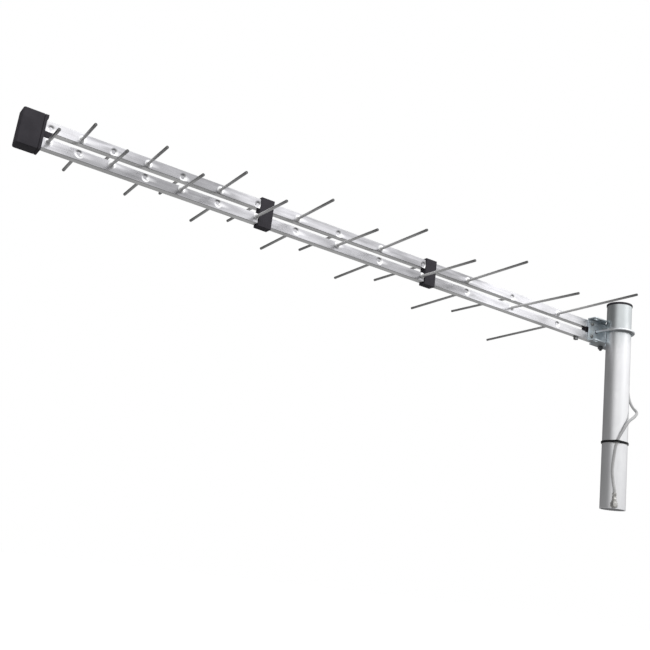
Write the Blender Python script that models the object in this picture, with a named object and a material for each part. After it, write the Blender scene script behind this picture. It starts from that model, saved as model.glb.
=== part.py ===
"""A twin-boom log-periodic TV antenna with its mast clamp, a length of mast and its short coax lead.

Blender 4.5, metres, +Z up. The mast stands on the origin, and the booms run along X behind it with
their tips towards -X. Each dipole has one arm on each boom, on opposite sides.
"""

import math

import bmesh
import bpy
from mathutils import Vector

MM = 0.001
GAP = 0.3 * MM

# Mast
MAST_RADIUS = 20.0 * MM
MAST_WALL = 2.0 * MM
MAST_HEIGHT = 339.0 * MM
CAP_LIP_RADIUS = 21.0 * MM
CAP_LIP_HEIGHT = 3.4 * MM
CAP_PLUG_DEPTH = 14.0 * MM

# Booms
BOOM_Y = 34.5 * MM
LOWER_BOOM_Z = 283.0 * MM
BOOM_PITCH = 21.0 * MM
UPPER_BOOM_Z = LOWER_BOOM_Z + BOOM_PITCH
BOOM_HEIGHT = 13.5 * MM
BOOM_WIDTH = 10.0 * MM
BOOM_WALL = 1.2 * MM
BOOM_CORNER = 0.8 * MM
BOOM_REAR_X = 39.0 * MM
GAP_MIDDLE_Z = LOWER_BOOM_Z + BOOM_PITCH / 2

# Dipoles: stations close up towards a point ahead of the tip, and the arms shorten with them
DIPOLES = 14
REAR_STATION_X = -115.4 * MM
CONVERGENCE_X = -1360.8 * MM
STATION_RATIO = 0.9165
REAR_ARM = 160.0 * MM
SECOND_ARM = 140.2 * MM
ARM_RATIO = 0.92
ARM_RADIUS = 2.0 * MM
ARM_TOWARDS_GAP = 1.9 * MM
ARM_LEAN = math.radians(1.1)
ARM_HOLE_SLACK = 0.12 * MM
COLLAR_RADIUS = 2.9 * MM
COLLAR_LENGTH = 0.9 * MM
ARM_SIDES = 10
RIVET_RADIUS = 2.5 * MM
RIVET_HEIGHT = 1.0 * MM
ARM_END_CUT = 0.4 * MM

# Feed box on the tips of the booms
FEED_BOX_AHEAD = 35.3 * MM
FEED_BOX_LENGTH = 28.5 * MM
FEED_BOX_WIDTH = 20.0 * MM
FEED_BOX_BOTTOM = LOWER_BOOM_Z - 12.0 * MM
FEED_BOX_TOP = UPPER_BOOM_Z + 12.0 * MM
FEED_BASE_THICKNESS = 3.6 * MM
FEED_WALL = 1.6 * MM
TIP_INSET = 15.0 * MM
TONGUE_REACH = 9.5 * MM
FEED_SCREW_RADIUS = 1.5 * MM
FEED_SCREW_HEAD = 2.8 * MM
FEED_SCREW_SET_BACK = 5.0 * MM

# Spacers that hold the booms apart
SPACER_DIPOLES = (7, 11)
SPACER_LAG = 13.5 * MM
SPACER_LENGTH = 19.5 * MM
SPACER_HALF_WIDTH = 6.5 * MM
SPACER_MARGIN = 3.2 * MM

# Mast clamp
SHEET = 2.0 * MM
BRACKET_HALF_LENGTH = 43.0 * MM
FLANGE_REACH = 16.7 * MM
FLANGE_CORNER = 3.0 * MM
FLANGE_OVERHANG = 11.8 * MM
OVERHANG_START_X = -24.0 * MM
BRACKET_CLEARANCE = 0.65 * MM
JAW_RADIUS = MAST_RADIUS + 0.35 * MM
JAW_FLAT_Y = 25.2 * MM
JAW_TEETH = 6
TOOTH_DEPTH = 1.1 * MM
U_BOLT_RADIUS = 3.0 * MM
U_BOLT_BEND = MAST_RADIUS + U_BOLT_RADIUS + GAP
U_BOLT_END_Y = 53.0 * MM
BACK_PLATE_HALF_LENGTH = 32.0 * MM
BACK_PLATE_HEIGHT = 32.0 * MM
FLANGE_SLOT_X = 35.0 * MM
FLANGE_SLOT_Y = 18.5 * MM
FLANGE_SLOT_HALF_LENGTH = 2.6 * MM
FLANGE_SLOT_RADIUS = 2.4 * MM
U_BOLT_NUT = 10.0 * MM
U_BOLT_NUT_HEIGHT = 5.0 * MM
BOLT_X = -3.0 * MM
BOLT_RADIUS = 2.5 * MM
BOLT_HEX = 8.0 * MM
BOLT_HEAD_HEIGHT = 3.5 * MM
BOLT_NUT_HEIGHT = 4.0 * MM
BOLT_OVERHANG = 7.0 * MM
SCREW_X = -64.7 * MM
SCREW_RADIUS = 2.0 * MM
SCREW_HEX = 7.0 * MM
SCREW_WASHER_RADIUS = 4.6 * MM
WEB_SCREW_X = -34.5 * MM
WEB_SCREW_RADIUS = 1.5 * MM
WEB_SCREW_HEAD = 3.0 * MM
FRONT_BLOCK_X = (-44.0 * MM, -28.5 * MM)
MIDDLE_BLOCK_X = (-17.5 * MM, 17.5 * MM)

# Lead, plug and tie
LEAD_RADIUS = 2.25 * MM
LEAD_STEP = 7.5 * MM
ROUTE_PARTS = 24
TIE_Z = 106.5 * MM
TIE_WIDTH = 3.6 * MM
TIE_THICKNESS = 1.2 * MM
TIE_LEAD_ROOM = 0.5 * MM
TIE_LEAD_X = -15.5 * MM
TIE_LEAD_Y = -16.8 * MM
TIE_HEAD_DEPTH = 5.0 * MM
TIE_HEAD_HALF = 2.5 * MM
TIE_HEAD_HALF_HEIGHT = 2.9 * MM
PLUG_TOP_Z = 24.0 * MM
PLUG_X = -19.4 * MM
PLUG_Y = -18.6 * MM
PLUG_NUT = 10.4 * MM
PLUG_NUT_BOTTOM = 1.6 * MM
PLUG_NUT_HEIGHT = 10.0 * MM

# The lead's route in millimetres: out of the lower boom's rear plug, down behind the mast, round its
# +X side in a loose bow, across the front under the tie and down to the plug
LEAD_ROUTE = (
    (43.6, 34.5, 283.0),
    (52.0, 34.5, 281.5),
    (58.5, 33.5, 274.0),
    (61.0, 31.5, 258.0),
    (60.0, 28.0, 234.0),
    (56.0, 22.0, 208.0),
    (50.0, 13.0, 188.0),
    (46.0, 3.0, 175.0),
    (40.5, -8.0, 166.5),
    (32.0, -16.0, 160.5),
    (19.0, -21.5, 152.0),
    (4.0, -23.0, 141.5),
    (-7.0, -21.8, 126.0),
    (-13.2, -18.8, 113.5),
    (-15.5, -16.8, 105.0),
    (-17.4, -14.9, 92.0),
    (-19.1, -12.6, 62.0),
    (-18.6, -14.6, 42.0),
    (-19.4, -18.0, 31.0),
    (-19.4, -18.6, 24.3),
)


def station_x(number):
    """Where dipole number stands along the booms, 1 at the tip."""
    return CONVERGENCE_X + (REAR_STATION_X - CONVERGENCE_X) * STATION_RATIO ** (DIPOLES - number)


def arm_length(number):
    """How far the arm reaches from the boom's centre line."""
    if number == DIPOLES:
        return REAR_ARM
    return SECOND_ARM * ARM_RATIO ** (DIPOLES - 1 - number)


BOX_FRONT_X = station_x(1) - FEED_BOX_AHEAD
BOX_REAR_X = BOX_FRONT_X + FEED_BOX_LENGTH
BOOM_TIP_X = BOX_FRONT_X + TIP_INSET
BASE_FRONT_X = BOX_REAR_X - FEED_BASE_THICKNESS
BOOM_NEAR_Y = BOOM_Y - BOOM_WIDTH / 2
BOOM_FAR_Y = BOOM_Y + BOOM_WIDTH / 2
WEB_REAR_Y = BOOM_NEAR_Y - GAP
WEB_FRONT_Y = WEB_REAR_Y - SHEET
FLANGE_MOUTH_Y = WEB_FRONT_Y - FLANGE_REACH + SHEET
PLATE_FRONT_Y = BOOM_FAR_Y + GAP
PLATE_REAR_Y = PLATE_FRONT_Y + SHEET
UPPER_FLANGE_Z = UPPER_BOOM_Z + BOOM_HEIGHT / 2 + BRACKET_CLEARANCE
LOWER_FLANGE_Z = LOWER_BOOM_Z - BOOM_HEIGHT / 2 - BRACKET_CLEARANCE - SHEET


def clear_scene():
    for old in list(bpy.data.objects):
        bpy.data.objects.remove(old, do_unlink=True)


def make_material(name, colour, roughness, metallic):
    material = bpy.data.materials.new(name)
    material.use_nodes = True
    shader = material.node_tree.nodes["Principled BSDF"]
    shader.inputs["Base Color"].default_value = (*colour, 1.0)
    shader.inputs["Roughness"].default_value = roughness
    shader.inputs["Metallic"].default_value = metallic
    return material


def make_materials():
    return {
        "mast_steel": make_material("mast_steel", (0.60, 0.61, 0.62), 0.38, 1.0),
        "boom_aluminium": make_material("boom_aluminium", (0.78, 0.78, 0.79), 0.32, 1.0),
        "arm_aluminium": make_material("arm_aluminium", (0.55, 0.55, 0.56), 0.40, 1.0),
        "black_plastic": make_material("black_plastic", (0.025, 0.026, 0.028), 0.45, 0.0),
        "zinc_sheet": make_material("zinc_sheet", (0.55, 0.58, 0.60), 0.35, 1.0),
        "zinc_fastener": make_material("zinc_fastener", (0.42, 0.43, 0.43), 0.34, 1.0),
        "grey_lead": make_material("grey_lead", (0.52, 0.52, 0.54), 0.50, 0.0),
        "nickel_plug": make_material("nickel_plug", (0.66, 0.64, 0.60), 0.25, 1.0),
    }


def put(name, mesh, material, parent=None, location=(0.0, 0.0, 0.0)):
    """Links a mesh or a curve to the scene as a named object."""
    piece = bpy.data.objects.new(name, mesh)
    bpy.context.scene.collection.objects.link(piece)
    if material is not None:
        mesh.materials.append(material)
    piece.parent = parent
    piece.location = location
    return piece


def empty_at(name, location):
    return put(name, None, None, None, location)


def mesh_from(build, name, smooth=False):
    """A mesh filled by build(bm), with its faces turned outwards."""
    bm = bmesh.new()
    build(bm)
    bmesh.ops.recalc_face_normals(bm, faces=bm.faces)
    mesh = bpy.data.meshes.new(name)
    bm.to_mesh(mesh)
    bm.free()
    for polygon in mesh.polygons:
        polygon.use_smooth = smooth
    return mesh


def frame_of(axis):
    """Two unit vectors across axis, which follow it in right-handed order."""
    axis = Vector(axis).normalized()
    across = axis.orthogonal().normalized()
    return axis, across, axis.cross(across)


def turned(name, profile, axis, centre, sides):
    """A round solid: profile holds (along, radius) pairs, each end on the axis or closed by a flat face."""
    axis, across, up = frame_of(axis)

    def build(bm):
        rings = []
        for along, radius in profile:
            middle = Vector(centre) + axis * along
            ring = []
            for step in range(sides):
                angle = 2 * math.pi * step / sides
                out = across * math.cos(angle) + up * math.sin(angle)
                ring.append(bm.verts.new(middle + out * radius))
            rings.append(ring)
        for near, far in zip(rings, rings[1:]):
            for step in range(sides):
                after = (step + 1) % sides
                bm.faces.new((near[step], near[after], far[after], far[step]))
        bm.faces.new(rings[0])
        bm.faces.new(rings[-1])

    return mesh_from(build, name, smooth=True)


def turned_ring(name, profile, axis, centre, sides):
    """A round solid with a bore: profile is a closed loop of (along, radius) pairs."""
    axis, across, up = frame_of(axis)

    def build(bm):
        rings = []
        for step in range(sides):
            angle = 2 * math.pi * step / sides
            out = across * math.cos(angle) + up * math.sin(angle)
            rings.append([bm.verts.new(Vector(centre) + axis * a + out * r) for a, r in profile])
        for step in range(sides):
            here, there = rings[step], rings[(step + 1) % sides]
            for corner in range(len(profile)):
                after = (corner + 1) % len(profile)
                bm.faces.new((here[corner], here[after], there[after], there[corner]))

    return mesh_from(build, name, smooth=True)


def prism(name, outline, origin, along_u, along_v, depth):
    """outline, in units of along_u and along_v, pushed through by the depth vector."""

    def build(bm):
        corners = [Vector(origin) + Vector(along_u) * u + Vector(along_v) * v for u, v in outline]
        face = bm.faces.new([bm.verts.new(corner) for corner in corners])
        pushed = bmesh.ops.extrude_face_region(bm, geom=[face])
        moved = [item for item in pushed["geom"] if isinstance(item, bmesh.types.BMVert)]
        bmesh.ops.translate(bm, verts=moved, vec=Vector(depth))

    return mesh_from(build, name)


def box(name, low, high):
    low, high = Vector(low), Vector(high)
    outline = ((low.x, low.y), (high.x, low.y), (high.x, high.y), (low.x, high.y))
    return prism(name, outline, (0, 0, low.z), (1, 0, 0), (0, 1, 0), (0, 0, high.z - low.z))


def hexagon(across_flats):
    radius = across_flats / math.sqrt(3)
    corners = []
    for degrees in range(0, 360, 60):
        angle = math.radians(degrees)
        corners.append((radius * math.cos(angle), radius * math.sin(angle)))
    return corners


def hex_block(name, across_flats, centre, height):
    """A hexagonal block standing on its centre point, as a nut or a bolt's head."""
    return prism(name, hexagon(across_flats), centre, (1, 0, 0), (0, 1, 0), (0, 0, height))


def joined(name, meshes):
    """Several closed meshes in one, for a cutter."""

    def build(bm):
        for mesh in meshes:
            bm.from_mesh(mesh)

    return mesh_from(build, name)


def add_boolean(piece, tool_mesh, operation):
    """A Boolean modifier whose tool is hidden from the render."""
    tool = put(piece.name + "_" + operation.lower(), tool_mesh, None)
    tool.hide_render = True
    tool.display_type = "WIRE"
    modifier = piece.modifiers.new(operation.title(), "BOOLEAN")
    modifier.operation = operation
    modifier.object = tool


def add_bevel(piece, width, segments=2):
    modifier = piece.modifiers.new("Edges", "BEVEL")
    modifier.width = width
    modifier.segments = segments
    modifier.limit_method = "ANGLE"


def pin_cutter(name, radius, centre, axis, length, sides=12):
    return turned(name, ((-length / 2, radius), (length / 2, radius)), axis, centre, sides)


def build_mast(materials, parent):
    inner = MAST_RADIUS - MAST_WALL
    wall = ((0.0, inner), (0.0, MAST_RADIUS), (MAST_HEIGHT, MAST_RADIUS), (MAST_HEIGHT, inner))
    mesh = turned_ring("mast_tube", wall, (0, 0, 1), (0, 0, 0), 40)
    put("mast_tube", mesh, materials["mast_steel"], parent)
    plug = inner - GAP
    cap = (
        (-CAP_PLUG_DEPTH, plug - 1 * MM),
        (-CAP_PLUG_DEPTH + 1.5 * MM, plug),
        (GAP, plug),
        (GAP, CAP_LIP_RADIUS),
        (CAP_LIP_HEIGHT - 1 * MM, CAP_LIP_RADIUS),
        (CAP_LIP_HEIGHT, CAP_LIP_RADIUS - 1.2 * MM),
    )
    mesh = turned("mast_cap", cap, (0, 0, 1), (0, 0, MAST_HEIGHT), 40)
    put("mast_cap", mesh, materials["black_plastic"], parent)


def boom_section(inset):
    """A boom's cross-section, inset from its outside, with small cut corners."""
    half_width = BOOM_WIDTH / 2 - inset
    half_height = BOOM_HEIGHT / 2 - inset
    cut = BOOM_CORNER if inset == 0 else 0.3 * MM
    return (
        (-half_width + cut, -half_height),
        (half_width - cut, -half_height),
        (half_width, -half_height + cut),
        (half_width, half_height - cut),
        (half_width - cut, half_height),
        (-half_width + cut, half_height),
        (-half_width, half_height - cut),
        (-half_width, -half_height + cut),
    )


def boom_tube(name, centre_z):
    """A rectangular tube along X, open at both ends."""
    outside, inside = boom_section(0.0), boom_section(BOOM_WALL)
    count = len(outside)

    def build(bm):
        loops = []
        ends = (
            (outside, BOOM_TIP_X),
            (outside, BOOM_REAR_X),
            (inside, BOOM_REAR_X),
            (inside, BOOM_TIP_X),
        )
        for section, x in ends:
            loops.append([bm.verts.new((x, BOOM_Y + y, centre_z + z)) for y, z in section])
        for here, there in zip(loops, loops[1:] + loops[:1]):
            for step in range(count):
                after = (step + 1) % count
                bm.faces.new((here[step], here[after], there[after], there[step]))

    return mesh_from(build, name)


def arm_is_on(number, boom, side):
    """Near arms of odd dipoles stand on the lower boom, those of even ones on the upper."""
    near_boom = "lower" if number % 2 else "upper"
    return (side == "near") == (boom == near_boom)


def arm_height(boom):
    """Arms cross their boom a little nearer the gap than its middle."""
    if boom == "lower":
        return LOWER_BOOM_Z + ARM_TOWARDS_GAP
    return UPPER_BOOM_Z - ARM_TOWARDS_GAP


def build_booms(materials, parent):
    along_y, along_z = (0, 1, 0), (0, 0, 1)
    through_y, through_z = BOOM_WIDTH * 1.4, BOOM_HEIGHT * 1.4
    one_wall = 4 * MM
    for boom, centre_z, outer in (("lower", LOWER_BOOM_Z, -1), ("upper", UPPER_BOOM_Z, 1)):
        name = boom + "_boom"
        piece = put(name, boom_tube(name, centre_z), materials["boom_aluminium"], parent)
        hole = ARM_RADIUS + GAP + ARM_HOLE_SLACK
        cutters = []
        for number in range(1, DIPOLES + 1):
            centre = (station_x(number), BOOM_Y, arm_height(boom))
            cutters.append(pin_cutter("arm_hole", hole, centre, along_y, through_y, ARM_SIDES))
        bolt_centre = (BOLT_X, BOOM_Y, centre_z)
        cutters.append(pin_cutter("bolt_hole", BOLT_RADIUS + GAP, bolt_centre, along_z, through_z))
        outer_z = centre_z + outer * BOOM_HEIGHT / 2
        tip_centre = (BOOM_TIP_X + FEED_SCREW_SET_BACK, BOOM_Y, outer_z)
        tip_hole = FEED_SCREW_RADIUS + GAP
        cutters.append(pin_cutter("tip_hole", tip_hole, tip_centre, along_z, one_wall))
        web_centre = (WEB_SCREW_X, BOOM_NEAR_Y, centre_z)
        web_hole = WEB_SCREW_RADIUS + GAP
        cutters.append(pin_cutter("web_hole", web_hole, web_centre, along_y, one_wall))
        if boom == "lower":
            screw_hole = SCREW_RADIUS + GAP
            cutters.append(
                pin_cutter("screw_hole", screw_hole, (SCREW_X, BOOM_Y, outer_z), along_z, one_wall)
            )
        add_boolean(piece, joined(name + "_holes", cutters), "DIFFERENCE")


def build_arm(name, number, boom, side, material, parent):
    """A rod through both walls of its boom, leaning away from the gap, riveted over inside and collared."""
    wall = BOOM_WIDTH / 2 + GAP + COLLAR_RADIUS * math.sin(ARM_LEAN)
    length = arm_length(number)
    profile = (
        (-wall - RIVET_HEIGHT, RIVET_RADIUS * 0.5),
        (-wall - RIVET_HEIGHT * 0.6, RIVET_RADIUS),
        (-wall, COLLAR_RADIUS),
        (-wall, ARM_RADIUS),
        (wall, ARM_RADIUS),
        (wall, COLLAR_RADIUS),
        (wall + COLLAR_LENGTH, COLLAR_RADIUS - 0.3 * MM),
        (wall + COLLAR_LENGTH, ARM_RADIUS),
        (length - ARM_END_CUT, ARM_RADIUS),
        (length, ARM_RADIUS - ARM_END_CUT),
    )
    outward = -1 if side == "near" else 1
    away = -1 if boom == "lower" else 1
    direction = (0, outward * math.cos(ARM_LEAN), away * math.sin(ARM_LEAN))
    mesh = turned(name, profile, direction, (station_x(number), BOOM_Y, arm_height(boom)), ARM_SIDES)
    put(name, mesh, material, parent)


def build_arms(materials, parent):
    for number in range(1, DIPOLES + 1):
        for side in ("near", "far"):
            boom = "lower" if arm_is_on(number, "lower", side) else "upper"
            name = f"arm_{number:02d}_{side}"
            build_arm(name, number, boom, side, materials["arm_aluminium"], parent)


def boom_hole_box(name, centre_z, start_x, end_x):
    low = (start_x, BOOM_NEAR_Y - GAP, centre_z - BOOM_HEIGHT / 2 - GAP)
    high = (end_x, BOOM_FAR_Y + GAP, centre_z + BOOM_HEIGHT / 2 + GAP)
    return box(name, low, high)


def build_feed_box(materials, parent, cover_parent):
    half = FEED_BOX_WIDTH / 2
    plastic = materials["black_plastic"]

    cover_rear = BASE_FRONT_X - GAP
    origin = cover_parent.location
    low = Vector((BOX_FRONT_X, BOOM_Y - half, FEED_BOX_BOTTOM)) - origin
    high = Vector((cover_rear, BOOM_Y + half, FEED_BOX_TOP)) - origin
    cover = put("feed_box_cover", box("feed_box_cover", low, high), plastic, cover_parent)
    add_bevel(cover, 1.2 * MM)
    wall = Vector((FEED_WALL, FEED_WALL, FEED_WALL))
    past_the_mouth = Vector((5 * MM, 0, 0))
    inside = box("cover_inside", low + wall + origin, high - wall + origin + past_the_mouth)
    add_boolean(cover, inside, "DIFFERENCE")

    base_low = (BASE_FRONT_X, BOOM_Y - half, FEED_BOX_BOTTOM)
    base_high = (BOX_REAR_X, BOOM_Y + half, FEED_BOX_TOP)
    base = put("feed_box_base", box("feed_box_base", base_low, base_high), plastic, parent)
    add_bevel(base, 0.7 * MM, 1)
    start_x, end_x = BASE_FRONT_X - 3 * MM, BOX_REAR_X + 3 * MM
    boom_heights = (LOWER_BOOM_Z, UPPER_BOOM_Z)
    holes = [boom_hole_box("base_hole", z, start_x, end_x) for z in boom_heights]
    add_boolean(base, joined("base_holes", holes), "DIFFERENCE")
    tongue_half = BOOM_PITCH / 2 - BOOM_HEIGHT / 2 - GAP
    tongue_low = (BASE_FRONT_X + 1 * MM, BOOM_NEAR_Y, GAP_MIDDLE_Z - tongue_half)
    tongue_high = (BOX_REAR_X + TONGUE_REACH, BOOM_FAR_Y, GAP_MIDDLE_Z + tongue_half)
    add_boolean(base, box("tongue", tongue_low, tongue_high), "UNION")

    for boom, centre_z, outer in (("lower", LOWER_BOOM_Z, -1), ("upper", UPPER_BOOM_Z, 1)):
        face = BOOM_HEIGHT / 2 + GAP
        profile = (
            (face - 4 * MM, FEED_SCREW_RADIUS),
            (face, FEED_SCREW_RADIUS),
            (face, FEED_SCREW_HEAD),
            (face + 1.4 * MM, FEED_SCREW_HEAD),
            (face + 2 * MM, FEED_SCREW_HEAD - 0.8 * MM),
        )
        name = "feed_screw_" + boom
        centre = (BOOM_TIP_X + FEED_SCREW_SET_BACK, BOOM_Y, centre_z)
        mesh = turned(name, profile, (0, 0, outer), centre, 12)
        put(name, mesh, materials["zinc_fastener"], parent)


def spacer_outline():
    """Half of a spacer from its flat joint outwards: (depth from the joint, height from the lower boom)."""
    deep = BOOM_WIDTH / 2 + GAP
    outer = SPACER_HALF_WIDTH
    joint = GAP / 2
    half = BOOM_HEIGHT / 2 + GAP
    bottom = -BOOM_HEIGHT / 2 - SPACER_MARGIN
    top = BOOM_PITCH + BOOM_HEIGHT / 2 + SPACER_MARGIN
    cut = 0.5 * MM
    return (
        (joint, bottom),
        (outer - cut, bottom),
        (outer, bottom + cut),
        (outer, top - cut),
        (outer - cut, top),
        (joint, top),
        (joint, BOOM_PITCH + half),
        (deep, BOOM_PITCH + half),
        (deep, BOOM_PITCH - half),
        (joint, BOOM_PITCH - half),
        (joint, half),
        (deep, half),
        (deep, -half),
        (joint, -half),
    )


def build_spacers(materials, parent):
    for number, place in zip(SPACER_DIPOLES, ("front", "rear")):
        start_x = station_x(number) + SPACER_LAG - SPACER_LENGTH / 2
        for side, sign in (("near", -1), ("far", 1)):
            name = f"spacer_{place}_{side}"
            origin = (start_x, BOOM_Y, LOWER_BOOM_Z)
            length = (SPACER_LENGTH, 0, 0)
            mesh = prism(name, spacer_outline(), origin, (0, sign, 0), (0, 0, 1), length)
            put(name, mesh, materials["black_plastic"], parent)


def jaw_edge(side):
    """One toothed side of the V jaw, from its mouth to its flat bottom, as (x, y)."""
    reach = JAW_RADIUS * math.sqrt(2)
    pitch = (JAW_FLAT_Y - FLANGE_MOUTH_Y) / JAW_TEETH
    half_pitch, depth = pitch / 2, TOOTH_DEPTH / math.sqrt(2)
    points = []
    for step in range(JAW_TEETH + 1):
        y = FLANGE_MOUTH_Y + pitch * step
        points.append((side * (reach - y), y))
        if step < JAW_TEETH:
            points.append((side * (reach - y - half_pitch + depth), y + half_pitch + depth))
    return points


def flange_outline():
    """A flange of the clamp seen from above: its jaw faces -Y, and its rear part lies over the booms."""
    half, mouth_y = BRACKET_HALF_LENGTH, FLANGE_MOUTH_Y
    cut, small_cut = FLANGE_CORNER, FLANGE_CORNER * 0.3
    overhang_y = WEB_REAR_Y + FLANGE_OVERHANG
    outline = [
        (-half, WEB_REAR_Y),
        (-half, mouth_y + cut),
        (-half + small_cut, mouth_y + small_cut),
        (-half + cut, mouth_y),
    ]
    outline += jaw_edge(-1)
    outline += reversed(jaw_edge(1))
    outline += [
        (half - cut, mouth_y),
        (half - small_cut, mouth_y + small_cut),
        (half, mouth_y + cut),
        (half, overhang_y),
        (OVERHANG_START_X, overhang_y),
        (OVERHANG_START_X, WEB_REAR_Y),
    ]
    return outline


def slot_cutter(name, centre, half_length, radius, height):
    """An upright slot with round ends, longer along X."""
    outline = []
    for turn in range(0, 360, 30):
        angle = math.radians(turn + 15)
        side = 1 if math.cos(angle) > 0 else -1
        outline.append((side * half_length + radius * math.cos(angle), radius * math.sin(angle)))
    low = Vector(centre) - Vector((0, 0, height / 2))
    return prism(name, outline, low, (1, 0, 0), (0, 1, 0), (0, 0, height))


def leg_holes(name, y):
    """Cutters for the two holes that the U-bolt's legs pass through."""
    radius = U_BOLT_RADIUS + GAP
    centres = [(side * U_BOLT_BEND, y, GAP_MIDDLE_Z) for side in (-1, 1)]
    return [pin_cutter(name, radius, centre, (0, 1, 0), 8 * MM) for centre in centres]


def build_bracket(material, parent):
    """A toothed channel: a web flat against both booms and two flanges that bite the mast."""

    def flange(name, bottom_z):
        thickness = (0, 0, SHEET)
        return prism(name, flange_outline(), (0, 0, bottom_z), (1, 0, 0), (0, 1, 0), thickness)

    bracket = put("clamp_bracket", flange("clamp_bracket", LOWER_FLANGE_Z), material, parent)
    web_low = (-BRACKET_HALF_LENGTH, WEB_FRONT_Y, LOWER_FLANGE_Z + SHEET / 2)
    web_high = (BRACKET_HALF_LENGTH, WEB_REAR_Y, UPPER_FLANGE_Z + SHEET / 2)
    add_boolean(bracket, box("clamp_web", web_low, web_high), "UNION")
    add_boolean(bracket, flange("clamp_upper_flange", UPPER_FLANGE_Z), "UNION")

    through = 8 * MM
    cutters = leg_holes("bracket_leg_hole", WEB_FRONT_Y)
    for z in (LOWER_FLANGE_Z, UPPER_FLANGE_Z):
        bolt_centre = (BOLT_X, BOOM_Y, z)
        cutters.append(pin_cutter("bolt_hole", BOLT_RADIUS + GAP, bolt_centre, (0, 0, 1), through))
        for side in (-1, 1):
            centre = (side * FLANGE_SLOT_X, FLANGE_SLOT_Y, z + SHEET / 2)
            half_length, radius = FLANGE_SLOT_HALF_LENGTH, FLANGE_SLOT_RADIUS
            cutters.append(slot_cutter("flange_slot", centre, half_length, radius, through))
    for z in (LOWER_BOOM_Z, UPPER_BOOM_Z):
        centre = (WEB_SCREW_X, WEB_FRONT_Y, z)
        radius = WEB_SCREW_RADIUS + GAP
        cutters.append(pin_cutter("web_screw_hole", radius, centre, (0, 1, 0), through))
    add_boolean(bracket, joined("clamp_holes", cutters), "DIFFERENCE")


def build_back_plate(material, parent):
    half_length, half_height = BACK_PLATE_HALF_LENGTH, BACK_PLATE_HEIGHT / 2
    low = (-half_length, PLATE_FRONT_Y, GAP_MIDDLE_Z - half_height)
    high = (half_length, PLATE_REAR_Y, GAP_MIDDLE_Z + half_height)
    plate = put("clamp_back_plate", box("clamp_back_plate", low, high), material, parent)
    holes = leg_holes("plate_leg_hole", PLATE_FRONT_Y)
    add_boolean(plate, joined("plate_holes", holes), "DIFFERENCE")


def build_u_bolt_nuts(material, parent):
    bore = U_BOLT_RADIUS + GAP
    depth = (0, U_BOLT_NUT_HEIGHT, 0)
    for name, side in (("u_bolt_nut_left", -1), ("u_bolt_nut_right", 1)):
        seat = (side * U_BOLT_BEND, PLATE_REAR_Y + GAP, GAP_MIDDLE_Z)
        nut = prism(name, hexagon(U_BOLT_NUT), seat, (1, 0, 0), (0, 0, 1), depth)
        piece = put(name, nut, material, parent)
        cutter = pin_cutter("nut_bore", bore, seat, (0, 1, 0), U_BOLT_NUT_HEIGHT * 3)
        add_boolean(piece, cutter, "DIFFERENCE")


def build_web_screws(material, parent):
    head = (
        (-GAP - 1.8 * MM, WEB_SCREW_HEAD - 0.8 * MM),
        (-GAP - 1.2 * MM, WEB_SCREW_HEAD),
        (-GAP, WEB_SCREW_HEAD),
        (-GAP, WEB_SCREW_RADIUS),
        (SHEET + 3.5 * MM, WEB_SCREW_RADIUS),
    )
    for boom, z in (("lower", LOWER_BOOM_Z), ("upper", UPPER_BOOM_Z)):
        name = "web_screw_" + boom
        mesh = turned(name, head, (0, 1, 0), (WEB_SCREW_X, WEB_FRONT_Y, z), 12)
        put(name, mesh, material, parent)


def build_clamp(materials, parent):
    build_bracket(materials["zinc_sheet"], parent)
    build_back_plate(materials["zinc_sheet"], parent)
    build_u_bolt_nuts(materials["zinc_fastener"], parent)
    build_web_screws(materials["zinc_fastener"], parent)


def build_u_bolt(materials, parent):
    """A rod bent round the mast's near side, with both legs running back through the clamp."""
    points = [(-U_BOLT_BEND, U_BOLT_END_Y)]
    steps = 16
    for step in range(steps + 1):
        angle = math.pi + math.pi * step / steps
        points.append((U_BOLT_BEND * math.cos(angle), U_BOLT_BEND * math.sin(angle)))
    points.append((U_BOLT_BEND, U_BOLT_END_Y))
    route = [Vector((x, y, GAP_MIDDLE_Z)) for x, y in points]
    curve = poly_tube("u_bolt", route, U_BOLT_RADIUS, 2)
    put("u_bolt", curve, materials["zinc_fastener"], parent)


def build_boom_bolt(material, parent):
    """One bolt down through both flanges and both booms, with its nut underneath."""
    head_z = UPPER_FLANGE_Z + SHEET + GAP
    shank_end = LOWER_FLANGE_Z - BOLT_OVERHANG
    head = hex_block("boom_bolt", BOLT_HEX, (BOLT_X, BOOM_Y, head_z), BOLT_HEAD_HEIGHT)
    bolt = put("boom_bolt", head, material, parent)
    shank = (
        (shank_end, BOLT_RADIUS - 0.5 * MM),
        (shank_end + 0.5 * MM, BOLT_RADIUS),
        (head_z + 1 * MM, BOLT_RADIUS),
    )
    shank_mesh = turned("bolt_shank", shank, (0, 0, 1), (BOLT_X, BOOM_Y, 0), 12)
    add_boolean(bolt, shank_mesh, "UNION")

    nut_centre = (BOLT_X, BOOM_Y, LOWER_FLANGE_Z - GAP - BOLT_NUT_HEIGHT)
    nut_mesh = hex_block("boom_bolt_nut", BOLT_HEX, nut_centre, BOLT_NUT_HEIGHT)
    nut = put("boom_bolt_nut", nut_mesh, material, parent)
    bore_length = BOLT_NUT_HEIGHT * 3
    bore = pin_cutter("nut_bore", BOLT_RADIUS + GAP, nut_centre, (0, 0, 1), bore_length)
    add_boolean(nut, bore, "DIFFERENCE")


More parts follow.
